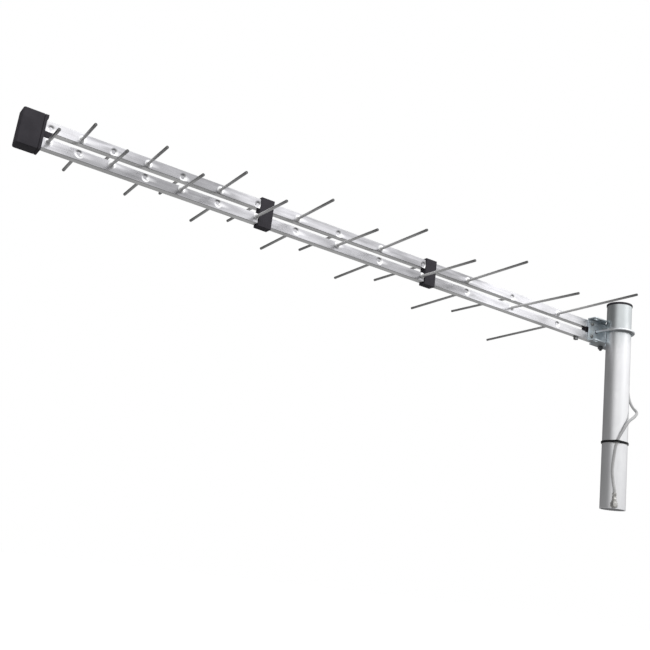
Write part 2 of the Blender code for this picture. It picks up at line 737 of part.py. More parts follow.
def build_boom_screw(material, parent):
    """A short washer-headed screw into the underside of the lower boom."""
    washer_top = LOWER_BOOM_Z - BOOM_HEIGHT / 2 - GAP
    washer_bottom = washer_top - 1.4 * MM
    head_centre = (SCREW_X, BOOM_Y, washer_top - 5 * MM)
    head = hex_block("boom_screw", SCREW_HEX, head_centre, 4 * MM)
    screw = put("boom_screw", head, material, parent)
    washer_and_shank = (
        (washer_bottom, SCREW_WASHER_RADIUS),
        (washer_top, SCREW_WASHER_RADIUS),
        (washer_top, SCREW_RADIUS),
        (washer_top + 5.5 * MM, SCREW_RADIUS),
        (washer_top + 7.0 * MM, 0.6 * MM),
    )
    shank_mesh = turned("screw_shank", washer_and_shank, (0, 0, 1), (SCREW_X, BOOM_Y, 0), 12)
    add_boolean(screw, shank_mesh, "UNION")


def build_gap_blocks(material, parent):
    """Black blocks that keep the booms apart inside the clamp."""
    half = BOOM_PITCH / 2 - BOOM_HEIGHT / 2 - GAP
    blocks = {}
    for name, span in (("gap_block_front", FRONT_BLOCK_X), ("gap_block_middle", MIDDLE_BLOCK_X)):
        low = (span[0], BOOM_NEAR_Y, GAP_MIDDLE_Z - half)
        high = (span[1], BOOM_FAR_Y, GAP_MIDDLE_Z + half)
        blocks[name] = put(name, box(name, low, high), material, parent)
    centre = (BOLT_X, BOOM_Y, GAP_MIDDLE_Z)
    hole = pin_cutter("bolt_hole", BOLT_RADIUS + GAP, centre, (0, 0, 1), 12 * MM)
    add_boolean(blocks["gap_block_middle"], hole, "DIFFERENCE")


def build_boom_plugs(materials, parent):
    """A stopper in the rear end of each boom. The lead leaves the lower one."""
    inside_width = BOOM_WIDTH / 2 - BOOM_WALL - GAP
    inside_height = BOOM_HEIGHT / 2 - BOOM_WALL - GAP
    for boom, z in (("upper", UPPER_BOOM_Z), ("lower", LOWER_BOOM_Z)):
        name = boom + "_boom_plug"
        low = (BOOM_REAR_X - 8 * MM, BOOM_Y - inside_width, z - inside_height)
        high = (BOOM_REAR_X + 1.5 * MM, BOOM_Y + inside_width, z + inside_height)
        plug = put(name, box(name, low, high), materials["black_plastic"], parent)
        lip_low = (BOOM_REAR_X + GAP, BOOM_NEAR_Y, z - BOOM_HEIGHT / 2)
        lip_high = (BOOM_REAR_X + 2 * MM, BOOM_FAR_Y, z + BOOM_HEIGHT / 2)
        add_boolean(plug, box("plug_lip", lip_low, lip_high), "UNION")
        if boom == "lower":
            sleeve = ((0.0, 4.0 * MM), (3.5 * MM, 4.0 * MM), (4.3 * MM, 3.2 * MM))
            sleeve_mesh = turned("plug_sleeve", sleeve, (1, 0, 0), (BOOM_REAR_X, BOOM_Y, z), 12)
            add_boolean(plug, sleeve_mesh, "UNION")


def smooth_route(points, step):
    """Evenly spaced points on a Catmull-Rom curve through the route's own points."""
    chain = [points[0] * 2 - points[1]] + points + [points[-1] * 2 - points[-2]]
    dense = []
    for before, start, end, after in zip(chain, chain[1:], chain[2:], chain[3:]):
        slope = end - before
        bend = 2 * before - 5 * start + 4 * end - after
        twist = 3 * start - before - 3 * end + after
        for part in range(ROUTE_PARTS):
            t = part / ROUTE_PARTS
            dense.append(start + (slope * t + bend * t**2 + twist * t**3) / 2)
    dense.append(points[-1])
    total = sum((b - a).length for a, b in zip(dense, dense[1:]))
    pitch = total / round(total / step)
    even, walked = [dense[0]], 0.0
    for a, b in zip(dense, dense[1:]):
        walked += (b - a).length
        if walked >= pitch * len(even) - 1e-9:
            even.append(b)
    even[-1] = dense[-1]
    return even


def poly_tube(name, points, radius, resolution):
    curve = bpy.data.curves.new(name, "CURVE")
    curve.dimensions = "3D"
    curve.bevel_depth = radius
    curve.bevel_resolution = resolution
    curve.use_fill_caps = True
    spline = curve.splines.new("POLY")
    spline.points.add(len(points) - 1)
    for slot, point in zip(spline.points, points):
        slot.co = (*point, 1.0)
        slot.radius = 1.0
    spline.use_smooth = True
    return curve


def build_lead(materials, parent):
    route = [Vector(point) * MM for point in LEAD_ROUTE]
    curve = poly_tube("coax_lead", smooth_route(route, LEAD_STEP), LEAD_RADIUS, 2)
    put("coax_lead", curve, materials["grey_lead"], parent)


def build_plug(material, parent, nut_parent):
    """A crimp plug: a ferrule and pin on the lead, and a coupling nut that spins on them."""
    body = (
        (1.0 * MM, 0.5 * MM),
        (4.0 * MM, 0.5 * MM),
        (4.0 * MM, 2.3 * MM),
        (12.0 * MM, 2.3 * MM),
        (12.0 * MM, 3.4 * MM),
        (22.5 * MM, 3.4 * MM),
        (PLUG_TOP_Z, 3.0 * MM),
    )
    mesh = turned("f_plug_body", body, (0, 0, 1), (PLUG_X, PLUG_Y, 0), 12)
    put("f_plug_body", mesh, material, parent)
    nut_mesh = hex_block("f_plug_nut", PLUG_NUT, (0, 0, PLUG_NUT_BOTTOM), PLUG_NUT_HEIGHT)
    nut = put("f_plug_nut", nut_mesh, material, nut_parent)
    bore = ((0.0, 4.4 * MM), (9.0 * MM, 4.4 * MM), (9.0 * MM, 2.6 * MM), (14.0 * MM, 2.6 * MM))
    bore_mesh = turned("nut_bore", bore, (0, 0, 1), (PLUG_X, PLUG_Y, 0), 12)
    add_boolean(nut, bore_mesh, "DIFFERENCE")


def tie_loop(clearance):
    """The tie's outline round the mast and the lead, as two arcs with straight runs between them."""
    lead = Vector((TIE_LEAD_X, TIE_LEAD_Y))
    lead_distance = lead.length
    lead_angle = math.atan2(lead.y, lead.x)
    mast_arc = MAST_RADIUS + clearance
    lead_arc = LEAD_RADIUS + TIE_LEAD_ROOM + clearance
    spread = math.acos((mast_arc - lead_arc) / lead_distance)
    points = []
    for step in range(6):
        angle = lead_angle - spread + 2 * spread * step / 5
        points.append((lead.x + lead_arc * math.cos(angle), lead.y + lead_arc * math.sin(angle)))
    rest = 2 * math.pi - 2 * spread
    for step in range(27):
        angle = lead_angle + spread + rest * step / 26
        points.append((mast_arc * math.cos(angle), mast_arc * math.sin(angle)))
    return points


def build_tie(materials, parent):
    inside, outside = tie_loop(GAP), tie_loop(GAP + TIE_THICKNESS)
    bottom_z, top_z = TIE_Z - TIE_WIDTH / 2, TIE_Z + TIE_WIDTH / 2
    count = len(inside)

    def build(bm):
        loops = []
        corners = ((inside, bottom_z), (outside, bottom_z), (outside, top_z), (inside, top_z))
        for outline, z in corners:
            loops.append([bm.verts.new((x, y, z)) for x, y in outline])
        for here, there in zip(loops, loops[1:] + loops[:1]):
            for step in range(count):
                after = (step + 1) % count
                bm.faces.new((here[step], here[after], there[after], there[step]))

    tie = put("cable_tie", mesh_from(build, "cable_tie"), materials["black_plastic"], parent)
    head_start_x = MAST_RADIUS + GAP + TIE_THICKNESS / 2
    head_low = (head_start_x, -TIE_HEAD_HALF, TIE_Z - TIE_HEAD_HALF_HEIGHT)
    head_high = (MAST_RADIUS + TIE_HEAD_DEPTH, TIE_HEAD_HALF, TIE_Z + TIE_HEAD_HALF_HEIGHT)
    add_boolean(tie, box("tie_head", head_low, head_high), "UNION")


def main():
    clear_scene()
    materials = make_materials()
    mast = empty_at("mast", (0, 0, 0))
    antenna = empty_at("antenna", (0, 0, 0))
    cover_mount = empty_at("feed_cover_slide", (BOX_FRONT_X, BOOM_Y, GAP_MIDDLE_Z))
    cover_mount.parent = antenna
    nut_mount = empty_at("plug_nut_axis", (PLUG_X, PLUG_Y, 0))
    nut_mount.parent = antenna
    build_mast(materials, mast)
    build_booms(materials, antenna)
    build_arms(materials, antenna)
    build_feed_box(materials, antenna, cover_mount)
    build_spacers(materials, antenna)
    build_clamp(materials, antenna)
    build_u_bolt(materials, antenna)
    build_boom_bolt(materials["zinc_fastener"], antenna)
    build_boom_screw(materials["zinc_fastener"], antenna)
    build_gap_blocks(materials["black_plastic"], antenna)
    build_boom_plugs(materials, antenna)
    build_lead(materials, antenna)
    build_plug(materials["nickel_plug"], antenna, nut_mount)
    build_tie(materials, antenna)


main()
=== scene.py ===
"""The log-periodic antenna as it looks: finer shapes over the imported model, and its materials.

The studio and the camera are here too. Blender 4.5, metres.
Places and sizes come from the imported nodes' boxes.
"""

import math

import bmesh
import bpy
from mathutils import Matrix, Vector


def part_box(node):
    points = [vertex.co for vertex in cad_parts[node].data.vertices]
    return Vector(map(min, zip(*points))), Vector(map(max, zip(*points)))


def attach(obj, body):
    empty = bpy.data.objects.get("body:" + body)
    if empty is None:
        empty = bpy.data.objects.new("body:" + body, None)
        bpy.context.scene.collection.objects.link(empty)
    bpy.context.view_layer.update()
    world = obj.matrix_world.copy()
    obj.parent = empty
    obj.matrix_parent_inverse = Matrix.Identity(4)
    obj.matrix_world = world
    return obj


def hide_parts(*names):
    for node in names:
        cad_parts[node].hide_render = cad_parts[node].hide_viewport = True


MM = 0.001
DIPOLES = 14
ALONG_Y, ALONG_Z = Vector((0, 1, 0)), Vector((0, 0, 1))

# Camera
CAMERA_PLACE = (-1.1407, -0.9271, -0.1379)
CAMERA_AZIMUTH = 31.339
CAMERA_ELEVATION = 15.314
CAMERA_ROLL = 7.41
CAMERA_LENS = 47.69

# Studio
FLOOR_Z = -0.62
FLOOR_HALF = 14.0
KEY_SIDE = (0.23, -0.97, 0.0)
FRONT_LIGHT_ABOVE = 1.67
FRONT_LIGHT_BELOW = 0.18
BACK_LIGHT_ABOVE = 0.19
BACK_LIGHT_BELOW = 0.50

# Booms
BOOM_CORNER = 0.5 * MM
BOOM_WALL = 1.2 * MM
FACE_STEP = 0.75 * MM
DENT_RADIUS = 5.5 * MM
ARM_BULGE = 1.5 * MM
RIVET_DENT = 2.0 * MM
# The painted highlight round each fastening, on a patch made smoother: its reach, and how far it is shifted
# from the arm's axis
HIGHLIGHT_REACH = 5.8 * MM
HIGHLIGHT_SHIFT = 1.2 * MM
HIGHLIGHT_DROP = 1.0 * MM
# Light and dark along the booms' upright faces, from the tip (0) to the rear end (1). They are painted into
# the surface and stand in for what the bare metal would mirror there
BOOM_TONES = (
    (0.00, 0.98),
    (0.05, 0.84),
    (0.08, 0.54),
    (0.13, 0.48),
    (0.17, 0.38),
    (0.21, 0.38),
    (0.26, 0.58),
    (0.38, 0.54),
    (0.50, 0.48),
    (0.57, 0.39),
    (0.64, 0.40),
    (0.70, 0.90),
    (1.00, 0.98),
)
# How far the pattern is shifted on each boom, as a part of its length
BOOM_TONE_LEAN = 0.012
# The even tone of the faces that look up and down, which get none of the painted light and dark
BOOM_EDGE_TONE = 0.97

# Feed box
FEED_EDGE = 2.8 * MM
FEED_CORNER = 1.1 * MM

# U-bolt: its plain rod is thinner than its thread. Its bow is painted paler and its right-hand bend darker:
# painted light and painted shade
SHANK_UNDER = 0.35 * MM
# How many points at the right-hand end get the painted shade
BEND_POINTS = 10

# Arms
ARM_RADIUS = 1.9 * MM
ARM_TOWARDS_GAP = 1.9 * MM
ARM_LEAN = math.radians(1.1)
ARM_SIDES = 28
# How much of the near arms' painted pale root the far arms get, which leaves the far arms darker: painted
# shade
FAR_ARM_PALE_TONE = 0.35
FLARE_WIDTH = 1.2 * MM
FLARE_REACH = 3.0 * MM
FLARE_STEPS = 8

# Lead
LEAD_DIAMETER = 4.5 * MM
BOOT_RADIUS = 3.7 * MM
LEAD_PARTS = 24
TIE_POINT = 14
LEAD_STEP = 4.0 * MM
LEAD_ROUTE = (
    (0.0436, 0.0345, 0.2830),
    (0.0520, 0.0345, 0.2815),
    (0.0585, 0.0335, 0.2740),
    (0.0610, 0.0315, 0.2580),
    (0.0600, 0.0280, 0.2340),
    (0.0560, 0.0220, 0.2080),
    (0.0500, 0.0130, 0.1880),
    (0.0460, 0.0030, 0.1750),
    (0.0405, -0.0080, 0.1665),
    (0.0320, -0.0160, 0.1605),
    (0.0190, -0.0215, 0.1520),
    (0.0040, -0.0230, 0.1415),
    (-0.0070, -0.0218, 0.1260),
    (-0.0132, -0.0188, 0.1135),
    (-0.0155, -0.0168, 0.1050),
    (-0.0174, -0.0149, 0.0920),
    (-0.0191, -0.0126, 0.0620),
    (-0.0186, -0.0146, 0.0420),
    (-0.0194, -0.0180, 0.0310),
    (-0.0194, -0.0186, 0.0243),
)

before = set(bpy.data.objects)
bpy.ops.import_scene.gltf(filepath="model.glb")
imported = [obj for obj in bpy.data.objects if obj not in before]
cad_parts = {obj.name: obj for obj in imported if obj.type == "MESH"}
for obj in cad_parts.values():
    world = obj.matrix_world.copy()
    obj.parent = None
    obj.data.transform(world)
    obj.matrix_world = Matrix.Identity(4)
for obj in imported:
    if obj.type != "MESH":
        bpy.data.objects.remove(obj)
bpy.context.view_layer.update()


def middle(node):
    low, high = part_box(node)
    return (Vector(low) + Vector(high)) / 2


# ---------------------------------------------------------------- materials


class Look:
    """A Principled material, with short calls for the procedural nodes that feed it."""

    def __init__(self, name, roughness, metallic, **constants):
        self.material = bpy.data.materials.new(name)
        self.material.use_nodes = True
        self.tree = self.material.node_tree
        self.shader = self.tree.nodes["Principled BSDF"]
        self.shader.inputs["Roughness"].default_value = roughness
        self.shader.inputs["Metallic"].default_value = metallic
        for socket, value in constants.items():
            self.shader.inputs[socket.replace("_", " ")].default_value = value
        self.place = self.add("ShaderNodeTexCoord").outputs["Object"]
        self.height = None

    def add(self, kind, **settings):
        node = self.tree.nodes.new(kind)
        for name, value in settings.items():
            setattr(node, name, value)
        return node

    def feed(self, socket, value):
        """Links an output to a socket, or sets a number or a colour on it."""
        if hasattr(value, "is_output"):
            self.tree.links.new(value, socket)
        else:
            socket.default_value = value

    def stretched(self, scale):
        mapping = self.add("ShaderNodeMapping")
        self.feed(mapping.inputs["Vector"], self.place)
        mapping.inputs["Scale"].default_value = scale
        return mapping.outputs["Vector"]

    def noise(self, scale, detail=3.0, stretch=(1, 1, 1), roughness=0.55):
        """Noise with about scale features in a metre, more along an axis whose stretch is over 1."""
        node = self.add("ShaderNodeTexNoise")
        self.feed(node.inputs["Vector"], self.stretched(stretch))
        node.inputs["Scale"].default_value = scale
        node.inputs["Detail"].default_value = detail
        node.inputs["Roughness"].default_value = roughness
        return node.outputs["Fac"]

    def cells(self, scale, stretch):
        node = self.add("ShaderNodeTexVoronoi", feature="F1")
        self.feed(node.inputs["Vector"], self.stretched(stretch))
        node.inputs["Scale"].default_value = scale
        return node

    def ranged(self, value, low, high, from_low=0.3, from_high=0.7):
        node = self.add("ShaderNodeMapRange")
        self.feed(node.inputs["Value"], value)
        node.inputs["From Min"].default_value = from_low
        node.inputs["From Max"].default_value = from_high
        node.inputs["To Min"].default_value = low
        node.inputs["To Max"].default_value = high
        return node.outputs["Result"]

    def blend(self, factor, first, second, mode="MIX"):
        node = self.add("ShaderNodeMix", data_type="RGBA", blend_type=mode)
        self.feed(node.inputs["Factor"], factor)
        colours = [socket for socket in node.inputs if socket.type == "RGBA"]
        for socket, value in zip(colours, (first, second)):
            self.feed(socket, value if hasattr(value, "is_output") else (*value, 1.0))
        return [socket for socket in node.outputs if socket.type == "RGBA"][0]

    def parts(self, vector, axis, absolute=False):
        """One component of a vector, or its size without the sign."""
        node = self.add("ShaderNodeSeparateXYZ")
        self.feed(node.inputs[0], vector)
        if not absolute:
            return node.outputs[axis]
        size = self.add("ShaderNodeMath", operation="ABSOLUTE")
        self.feed(size.inputs[0], node.outputs[axis])
        return size.outputs[0]

    def sum(self, first, second):
        node = self.add("ShaderNodeMath", operation="ADD")
        self.feed(node.inputs[0], first)
        self.feed(node.inputs[1], second)
        return node.outputs[0]

    def colour(self, value):
        self.feed(self.shader.inputs["Base Color"], value)

    def roughness(self, value):
        self.feed(self.shader.inputs["Roughness"], value)

    def bump(self, value, distance, strength=1.0):
        """Adds a relief of that depth, in metres, on top of any relief before it."""
        node = self.add("ShaderNodeBump")
        node.inputs["Distance"].default_value = distance
        node.inputs["Strength"].default_value = strength
        self.feed(node.inputs["Height"], value)
        if self.height is not None:
            self.feed(node.inputs["Normal"], self.height)
        self.height = node.outputs["Normal"]
        self.feed(self.shader.inputs["Normal"], self.height)


def boom_look():
    """Extruded aluminium: die lines along it, and a painted highlight on a smoother patch where each arm is
    pressed in.

    The upright faces' long light and dark stretches are painted in from BOOM_TONES.
    """
    look = Look("boom_extruded", 0.3, 1.0)
    low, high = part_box("lower_boom")
    along = look.ranged(look.parts(look.place, "X"), 0.0, 1.0, low[0], high[0])
    levels = [middle(node).z for node in ("lower_boom", "upper_boom")]
    lean = look.ranged(look.parts(look.place, "Z"), BOOM_TONE_LEAN, -BOOM_TONE_LEAN, *levels)
    drift = look.noise(14, 2, (1, 3, 8))
    tone = look.add("ShaderNodeValToRGB")
    look.feed(tone.inputs["Fac"], look.sum(look.sum(along, lean), look.ranged(drift, -0.03, 0.03)))
    ramp = tone.color_ramp
    for place, value in BOOM_TONES[1:-1]:
        ramp.elements.new(place)
    for element, (place, value) in zip(ramp.elements, BOOM_TONES):
        element.position = place
        element.color = (value, value * 0.995, min(1.0, value * 1.04), 1.0)
    normal = look.add("ShaderNodeNewGeometry").outputs["Normal"]
    # Only the upright faces get the painted light and dark; the faces that look up and down keep an even tone
    upright = look.ranged(look.parts(normal, "Y", absolute=True), 0.0, 1.0, 0.45, 0.85)
    edge = (BOOM_EDGE_TONE,) * 3
    lines = look.noise(900, 4, (0.006, 1, 1), 0.7)
    bands = look.noise(260, 3, (0.02, 1, 1), 0.6)
    smears = look.noise(60, 4, (0.4, 1.6, 1.6))
    # A painted highlight round each fastening, which also makes the patch smoother
    polish_and_highlight = look.add("ShaderNodeAttribute", attribute_name="polish_and_highlight").outputs["Fac"]
    base = look.blend(upright, edge, tone.outputs["Color"])
    base = look.blend(look.ranged(smears, 0.0, 1.0), base, (0.80, 0.80, 0.80), "MULTIPLY")
    base = look.blend(look.ranged(bands, 0.0, 1.0), base, (0.83, 0.83, 0.83), "MULTIPLY")
    base = look.blend(look.ranged(lines, 0.0, 1.0), base, (0.88, 0.88, 0.88), "MULTIPLY")
    look.colour(look.blend(look.ranged(polish_and_highlight, 0.0, 0.85, 0.1, 0.8), base, (0.94, 0.94, 0.95)))
    look.roughness(look.blend(polish_and_highlight, look.ranged(smears, 0.22, 0.40), (0.16, 0.16, 0.16)))
    look.bump(look.noise(38, 2, (0.35, 1, 1)), 0.5 * MM, 0.6)
    look.bump(lines, 0.04 * MM)
    return look.material


def arm_look():
    """Drawn aluminium rod: fine lines along it, a dull patchy skin and dark sawn ends.

    The root, and the head on the other face, are painted paler and less metallic: painted light.
    """
    look = Look("arm_drawn", 0.35, 1.0)
    lines = look.noise(1500, 3, (1, 0.01, 1), 0.7)
    patches = look.noise(120, 4, (1, 0.4, 1))
    sawn = look.add("ShaderNodeAttribute", attribute_name="sawn").outputs["Fac"]
    # How far the painted light reaches along the rod: paler and less metallic towards the root
    pale_tone = look.add("ShaderNodeAttribute", attribute_name="pale_tone").outputs["Fac"]
    base = look.blend(look.ranged(pale_tone, 0.0, 1.0, 0.0, 0.70), (0.34, 0.34, 0.34), (1.0, 1.0, 1.0))
    base = look.blend(look.ranged(patches, 0.0, 1.0), base, (0.86, 0.86, 0.86), "MULTIPLY")
    base = look.blend(look.ranged(lines, 0.0, 0.6), base, (0.70, 0.70, 0.70), "MULTIPLY")
    look.colour(look.blend(sawn, base, (0.12, 0.12, 0.12)))
    look.feed(look.shader.inputs["Metallic"], look.ranged(pale_tone, 1.0, 0.15, 0.40, 0.75))
    look.roughness(look.ranged(patches, 0.26, 0.44))
    look.bump(lines, 0.03 * MM)
    return look.material


def mast_look():
    """Hot-dip galvanised tube: faint spangle, drips and a matt bloom, and painted darker near its top."""
    look = Look("mast_galvanised", 0.3, 1.0)
    spangle = look.cells(95, (1, 1, 0.7))
    tint = look.ranged(spangle.outputs["Color"], 0.0, 1.0, 0.0, 1.0)
    bloom = look.noise(24, 5, (1, 1, 0.35))
    runs = look.noise(210, 3, (1, 1, 0.03), 0.6)
    grain = look.noise(2600, 2)
    height = look.sum(look.parts(look.place, "Z"), look.ranged(bloom, -0.02, 0.02))
    # Greyer and darker from about 0.27 m up the tube, with a ragged edge
    greying = look.ranged(height, 0.0, 0.8, 0.270, 0.300)
    base = look.blend(tint, (0.97, 0.975, 0.985), (0.92, 0.925, 0.94))
    base = look.blend(look.ranged(bloom, 0.0, 0.5), base, (0.885, 0.88, 0.905))
    base = look.blend(look.ranged(runs, 0.0, 0.2), base, (0.75, 0.75, 0.78))
    look.colour(look.blend(greying, base, (0.56, 0.60, 0.61)))
    look.roughness(look.sum(look.ranged(bloom, 0.30, 0.40), look.ranged(tint, 0.0, 0.05, 0.0, 1.0)))
    look.bump(runs, 0.05 * MM, 0.6)
    look.bump(grain, 0.02 * MM)
    return look.material


def zinc_look(name, pale_tone, bloomed, rough, metallic=1.0):
    """Zinc plate: a coat with warmer and duller clouds and fine scratches.

    Faces that look down are painted darker: painted shade.
    """
    look = Look(name, rough, metallic)
    clouds = look.noise(130, 5)
    warm = look.noise(75, 3, (1, 1, 1.4))
    scratches = look.noise(1100, 2, (1, 0.05, 1), 0.8)
    base = look.blend(look.ranged(clouds, 0.0, 1.0), pale_tone, bloomed)
    base = look.blend(look.ranged(warm, 0.0, 0.3, 0.45, 0.7), base, (0.66, 0.64, 0.55))
    normal = look.add("ShaderNodeNewGeometry").outputs["Normal"]
    # Faces that look down get a darker colour: painted shade
    under = look.ranged(look.parts(normal, "Z"), 0.7, 0.0, -0.95, -0.50)
    look.colour(look.blend(under, base, (0.22, 0.23, 0.24)))
    dull = look.ranged(clouds, rough - 0.08, rough + 0.10)
    look.roughness(look.sum(dull, look.ranged(scratches, 0.0, 0.06)))
    look.bump(scratches, 0.02 * MM, 0.7)
    look.bump(look.noise(420, 3), 0.08 * MM, 0.5)
    return look.material


def plastic_look(name, dark, greying, grain_size, grain_depth, rough):
    """Moulded black plastic: an even spark-eroded grain, flow clouds and slightly greyed patches."""
    look = Look(name, rough, 0.0, Specular_IOR_Level=0.08)
    clouds = look.noise(70, 4)
    grain = look.noise(1.0 / grain_size, 3, (1, 1, 1), 0.6)
    look.colour(look.blend(look.ranged(clouds, 0.0, 1.0), dark, greying))
    look.roughness(look.sum(look.ranged(clouds, rough - 0.06, rough + 0.06), look.ranged(grain, -0.04, 0.06)))
    look.bump(grain, grain_depth)
    return look.material


def lead_look():
    """Smooth grey cable jacket with faint extrusion rings and a little dust."""
    look = Look("lead_jacket", 0.42, 0.0)
    dust = look.noise(160, 4)
    rings = look.noise(700, 2, (1, 1, 1.6))
    look.colour(look.blend(look.ranged(dust, 0.0, 0.8), (0.60, 0.60, 0.60), (0.48, 0.48, 0.485)))
    look.roughness(look.ranged(dust, 0.34, 0.52))
    look.bump(rings, 0.05 * MM, 0.6)
    return look.material


def nickel_look():
    """Nickel plate: grey and bright, with fine turning lines round it."""
    look = Look("plug_nickel", 0.22, 1.0)
    lines = look.noise(2200, 2, (0.02, 0.02, 1), 0.7)
    haze = look.noise(240, 3)
    look.colour(look.blend(look.ranged(haze, 0.0, 0.8), (0.66, 0.65, 0.63), (0.52, 0.51, 0.49)))
    look.roughness(look.sum(look.ranged(haze, 0.15, 0.27), look.ranged(lines, 0.0, 0.08)))
    look.bump(lines, 0.02 * MM, 0.8)
    return look.material


LOOKS = {
    "boom_aluminium": boom_look(),
    "arm_aluminium": arm_look(),
    "mast_steel": mast_look(),
    "zinc_sheet": zinc_look("bracket_zinc", (0.80, 0.87, 0.92), (0.66, 0.74, 0.80), 0.40, 0.58),
    "zinc_fastener": zinc_look("fastener_zinc", (0.30, 0.31, 0.31), (0.20, 0.20, 0.21), 0.36),
    "black_plastic": plastic_look(
        "plastic_grained", (0.052, 0.049, 0.057), (0.068, 0.064, 0.074), 0.55 * MM, 0.05 * MM, 0.62
    ),
    "grey_lead": lead_look(),
    "nickel_plug": nickel_look(),
}
# The U-bolt's bow, paler than the bracket's zinc: painted light
BOW_ZINC = zinc_look("bow_zinc", (0.92, 0.94, 0.97), (0.76, 0.79, 0.82), 0.30, 0.85)
NYLON = plastic_look("nylon_black", (0.018, 0.018, 0.019), (0.030, 0.030, 0.031), 1.4 * MM, 0.02 * MM, 0.34)


# ---------------------------------------------------------------- mesh tools


def finish_piece(name, data, slot, body, nodes=(), material=None):
    """Links a mesh or a curve, gives it its material, and ties it to its body and the nodes it stands for."""
    piece = bpy.data.objects.new(name, data)
    bpy.context.scene.collection.objects.link(piece)
    data.materials.append(material or LOOKS[slot])
    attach(piece, body)
    if nodes:
        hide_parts(*nodes)
    return piece


def mesh_of(name, build, sharp_degrees=35.0):
    bm = bmesh.new()
    build(bm)
    bmesh.ops.recalc_face_normals(bm, faces=bm.faces)
    mesh = bpy.data.meshes.new(name)
    bm.to_mesh(mesh)
    bm.free()
    mesh.shade_smooth()
    mesh.set_sharp_from_angle(angle=math.radians(sharp_degrees))
    return mesh


def skin(bm, loops, round_trip=False):
    """Faces between rings of points. The rings' ends are closed, or the last joins the first."""
    rings = [[bm.verts.new(point) for point in loop] for loop in loops]
    pairs = list(zip(rings, rings[1:]))
    if round_trip:
        pairs.append((rings[-1], rings[0]))
    for here, there in pairs:
        for step in range(len(here)):
            after = (step + 1) % len(here)
            bm.faces.new((here[step], here[after], there[after], there[step]))
    if not round_trip:
        bm.faces.new(rings[0])
        bm.faces.new(rings[-1])


def ring_points(axis, centre, along, radius, sides):
    """Points round an axis. radius is a number, or a function of the angle."""
    axis = Vector(axis).normalized()
    across = Vector((axis.y, axis.z, axis.x))
    across = (across - axis * across.dot(axis)).normalized()
    up = axis.cross(across)
    points = []
    for step in range(sides):
        angle = 2 * math.pi * step / sides
        out = radius(angle) if callable(radius) else radius
        points.append(Vector(centre) + axis * along + (across * math.cos(angle) + up * math.sin(angle)) * out)
    return points


def turned(profile, axis, centre, sides, bored=False):
    """A builder for a lathe shape: profile holds (along, radius) pairs, or a closed loop of them if bored."""

    def build(bm):
        loops = [ring_points(axis, centre, along, radius, sides) for along, radius in profile]
        skin(bm, loops, round_trip=bored)

    return build


def hex_radius(across_flats, limit=None):
    """The radius of a hexagon at an angle, cut back to a circle where limit is given."""

    def radius(angle):
        turn = (angle % (math.pi / 3)) - math.pi / 6
        out = across_flats / 2 / math.cos(turn)
        return out if limit is None else min(out, limit)

    return radius


def hex_profile(across_flats, start, end, chamfer=0.5 * MM):
    """The outside of a hexagonal nut or head, with its corners turned down at both ends."""
    flat = across_flats / 2
    return [
        (start, hex_radius(across_flats, flat * 0.97)),
        (start + chamfer * 0.6, hex_radius(across_flats, flat * 1.09)),
        (start + chamfer, hex_radius(across_flats)),
        (end - chamfer, hex_radius(across_flats)),
        (end - chamfer * 0.6, hex_radius(across_flats, flat * 1.09)),
        (end, hex_radius(across_flats, flat * 0.97)),
    ]


def thread_profile(start, end, radius, pitch, depth):
    """Crests and roots along a screw, from start to end."""
    turns = max(1, round(abs(end - start) / pitch))
    step = (end - start) / turns
    points = []
    for turn in range(turns):
        points.append((start + step * turn, radius - depth))
        points.append((start + step * (turn + 0.5), radius))
    points.append((end, radius - depth))
    return points


def smooth_route(points, parts, step):
    """Evenly spaced points on a Catmull-Rom curve through the route's own points."""
    chain = [points[0] * 2 - points[1]] + points + [points[-1] * 2 - points[-2]]
    dense = []
    for before, start, end, after in zip(chain, chain[1:], chain[2:], chain[3:]):
        slope = end - before
        bend = 2 * before - 5 * start + 4 * end - after
        twist = 3 * start - before - 3 * end + after
        for part in range(parts):
            t = part / parts
            dense.append(start + (slope * t + bend * t**2 + twist * t**3) / 2)
    dense.append(points[-1])
    total = sum((b - a).length for a, b in zip(dense, dense[1:]))
    pitch = total / round(total / step)
    even, walked = [dense[0]], 0.0
    for a, b in zip(dense, dense[1:]):
        walked += (b - a).length
        if walked >= pitch * len(even) - 1e-9:
            even.append(b)
    even[-1] = dense[-1]
    return even, total


def tube_curve(name, points, radius, resolution):
    curve = bpy.data.curves.new(name, "CURVE")
    curve.dimensions = "3D"
    curve.bevel_depth = radius
    curve.bevel_resolution = resolution
    curve.use_fill_caps = True
    spline = curve.splines.new("POLY")
    spline.points.add(len(points) - 1)
    for slot, point in zip(spline.points, points):
        slot.co = (*point, 1.0)
        slot.radius = 1.0
    spline.use_smooth = True
    return curve


def refined(node, slot, body, width, segments=3, wide_edge=None, wide=0.0):
    """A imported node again, with coplanar faces joined and sharp edges rounded, some of them more widely."""

    def build(bm):
        bm.from_mesh(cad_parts[node].data)
        bmesh.ops.remove_doubles(bm, verts=bm.verts, dist=2e-6)
        bmesh.ops.dissolve_limit(bm, angle_limit=math.radians(1.0), verts=bm.verts, edges=bm.edges)
        if wide_edge:
            chosen = [e for e in bm.edges if wide_edge(e)]
            bmesh.ops.bevel(
                bm, geom=chosen, offset=wide, offset_type="OFFSET", segments=5, profile=0.5, affect="EDGES",
            )
        sharp = [e for e in bm.edges if e.is_manifold and e.calc_face_angle(0.0) > math.radians(32)]
        bmesh.ops.bevel(
            bm, geom=sharp, offset=width, offset_type="OFFSET", segments=segments,
            profile=0.6, affect="EDGES", clamp_overlap=True,
        )
        bmesh.ops.dissolve_degenerate(bm, dist=2e-6, edges=bm.edges)

    finish_piece(node + "_fine", mesh_of(node + "_fine", build), slot, body, [node])


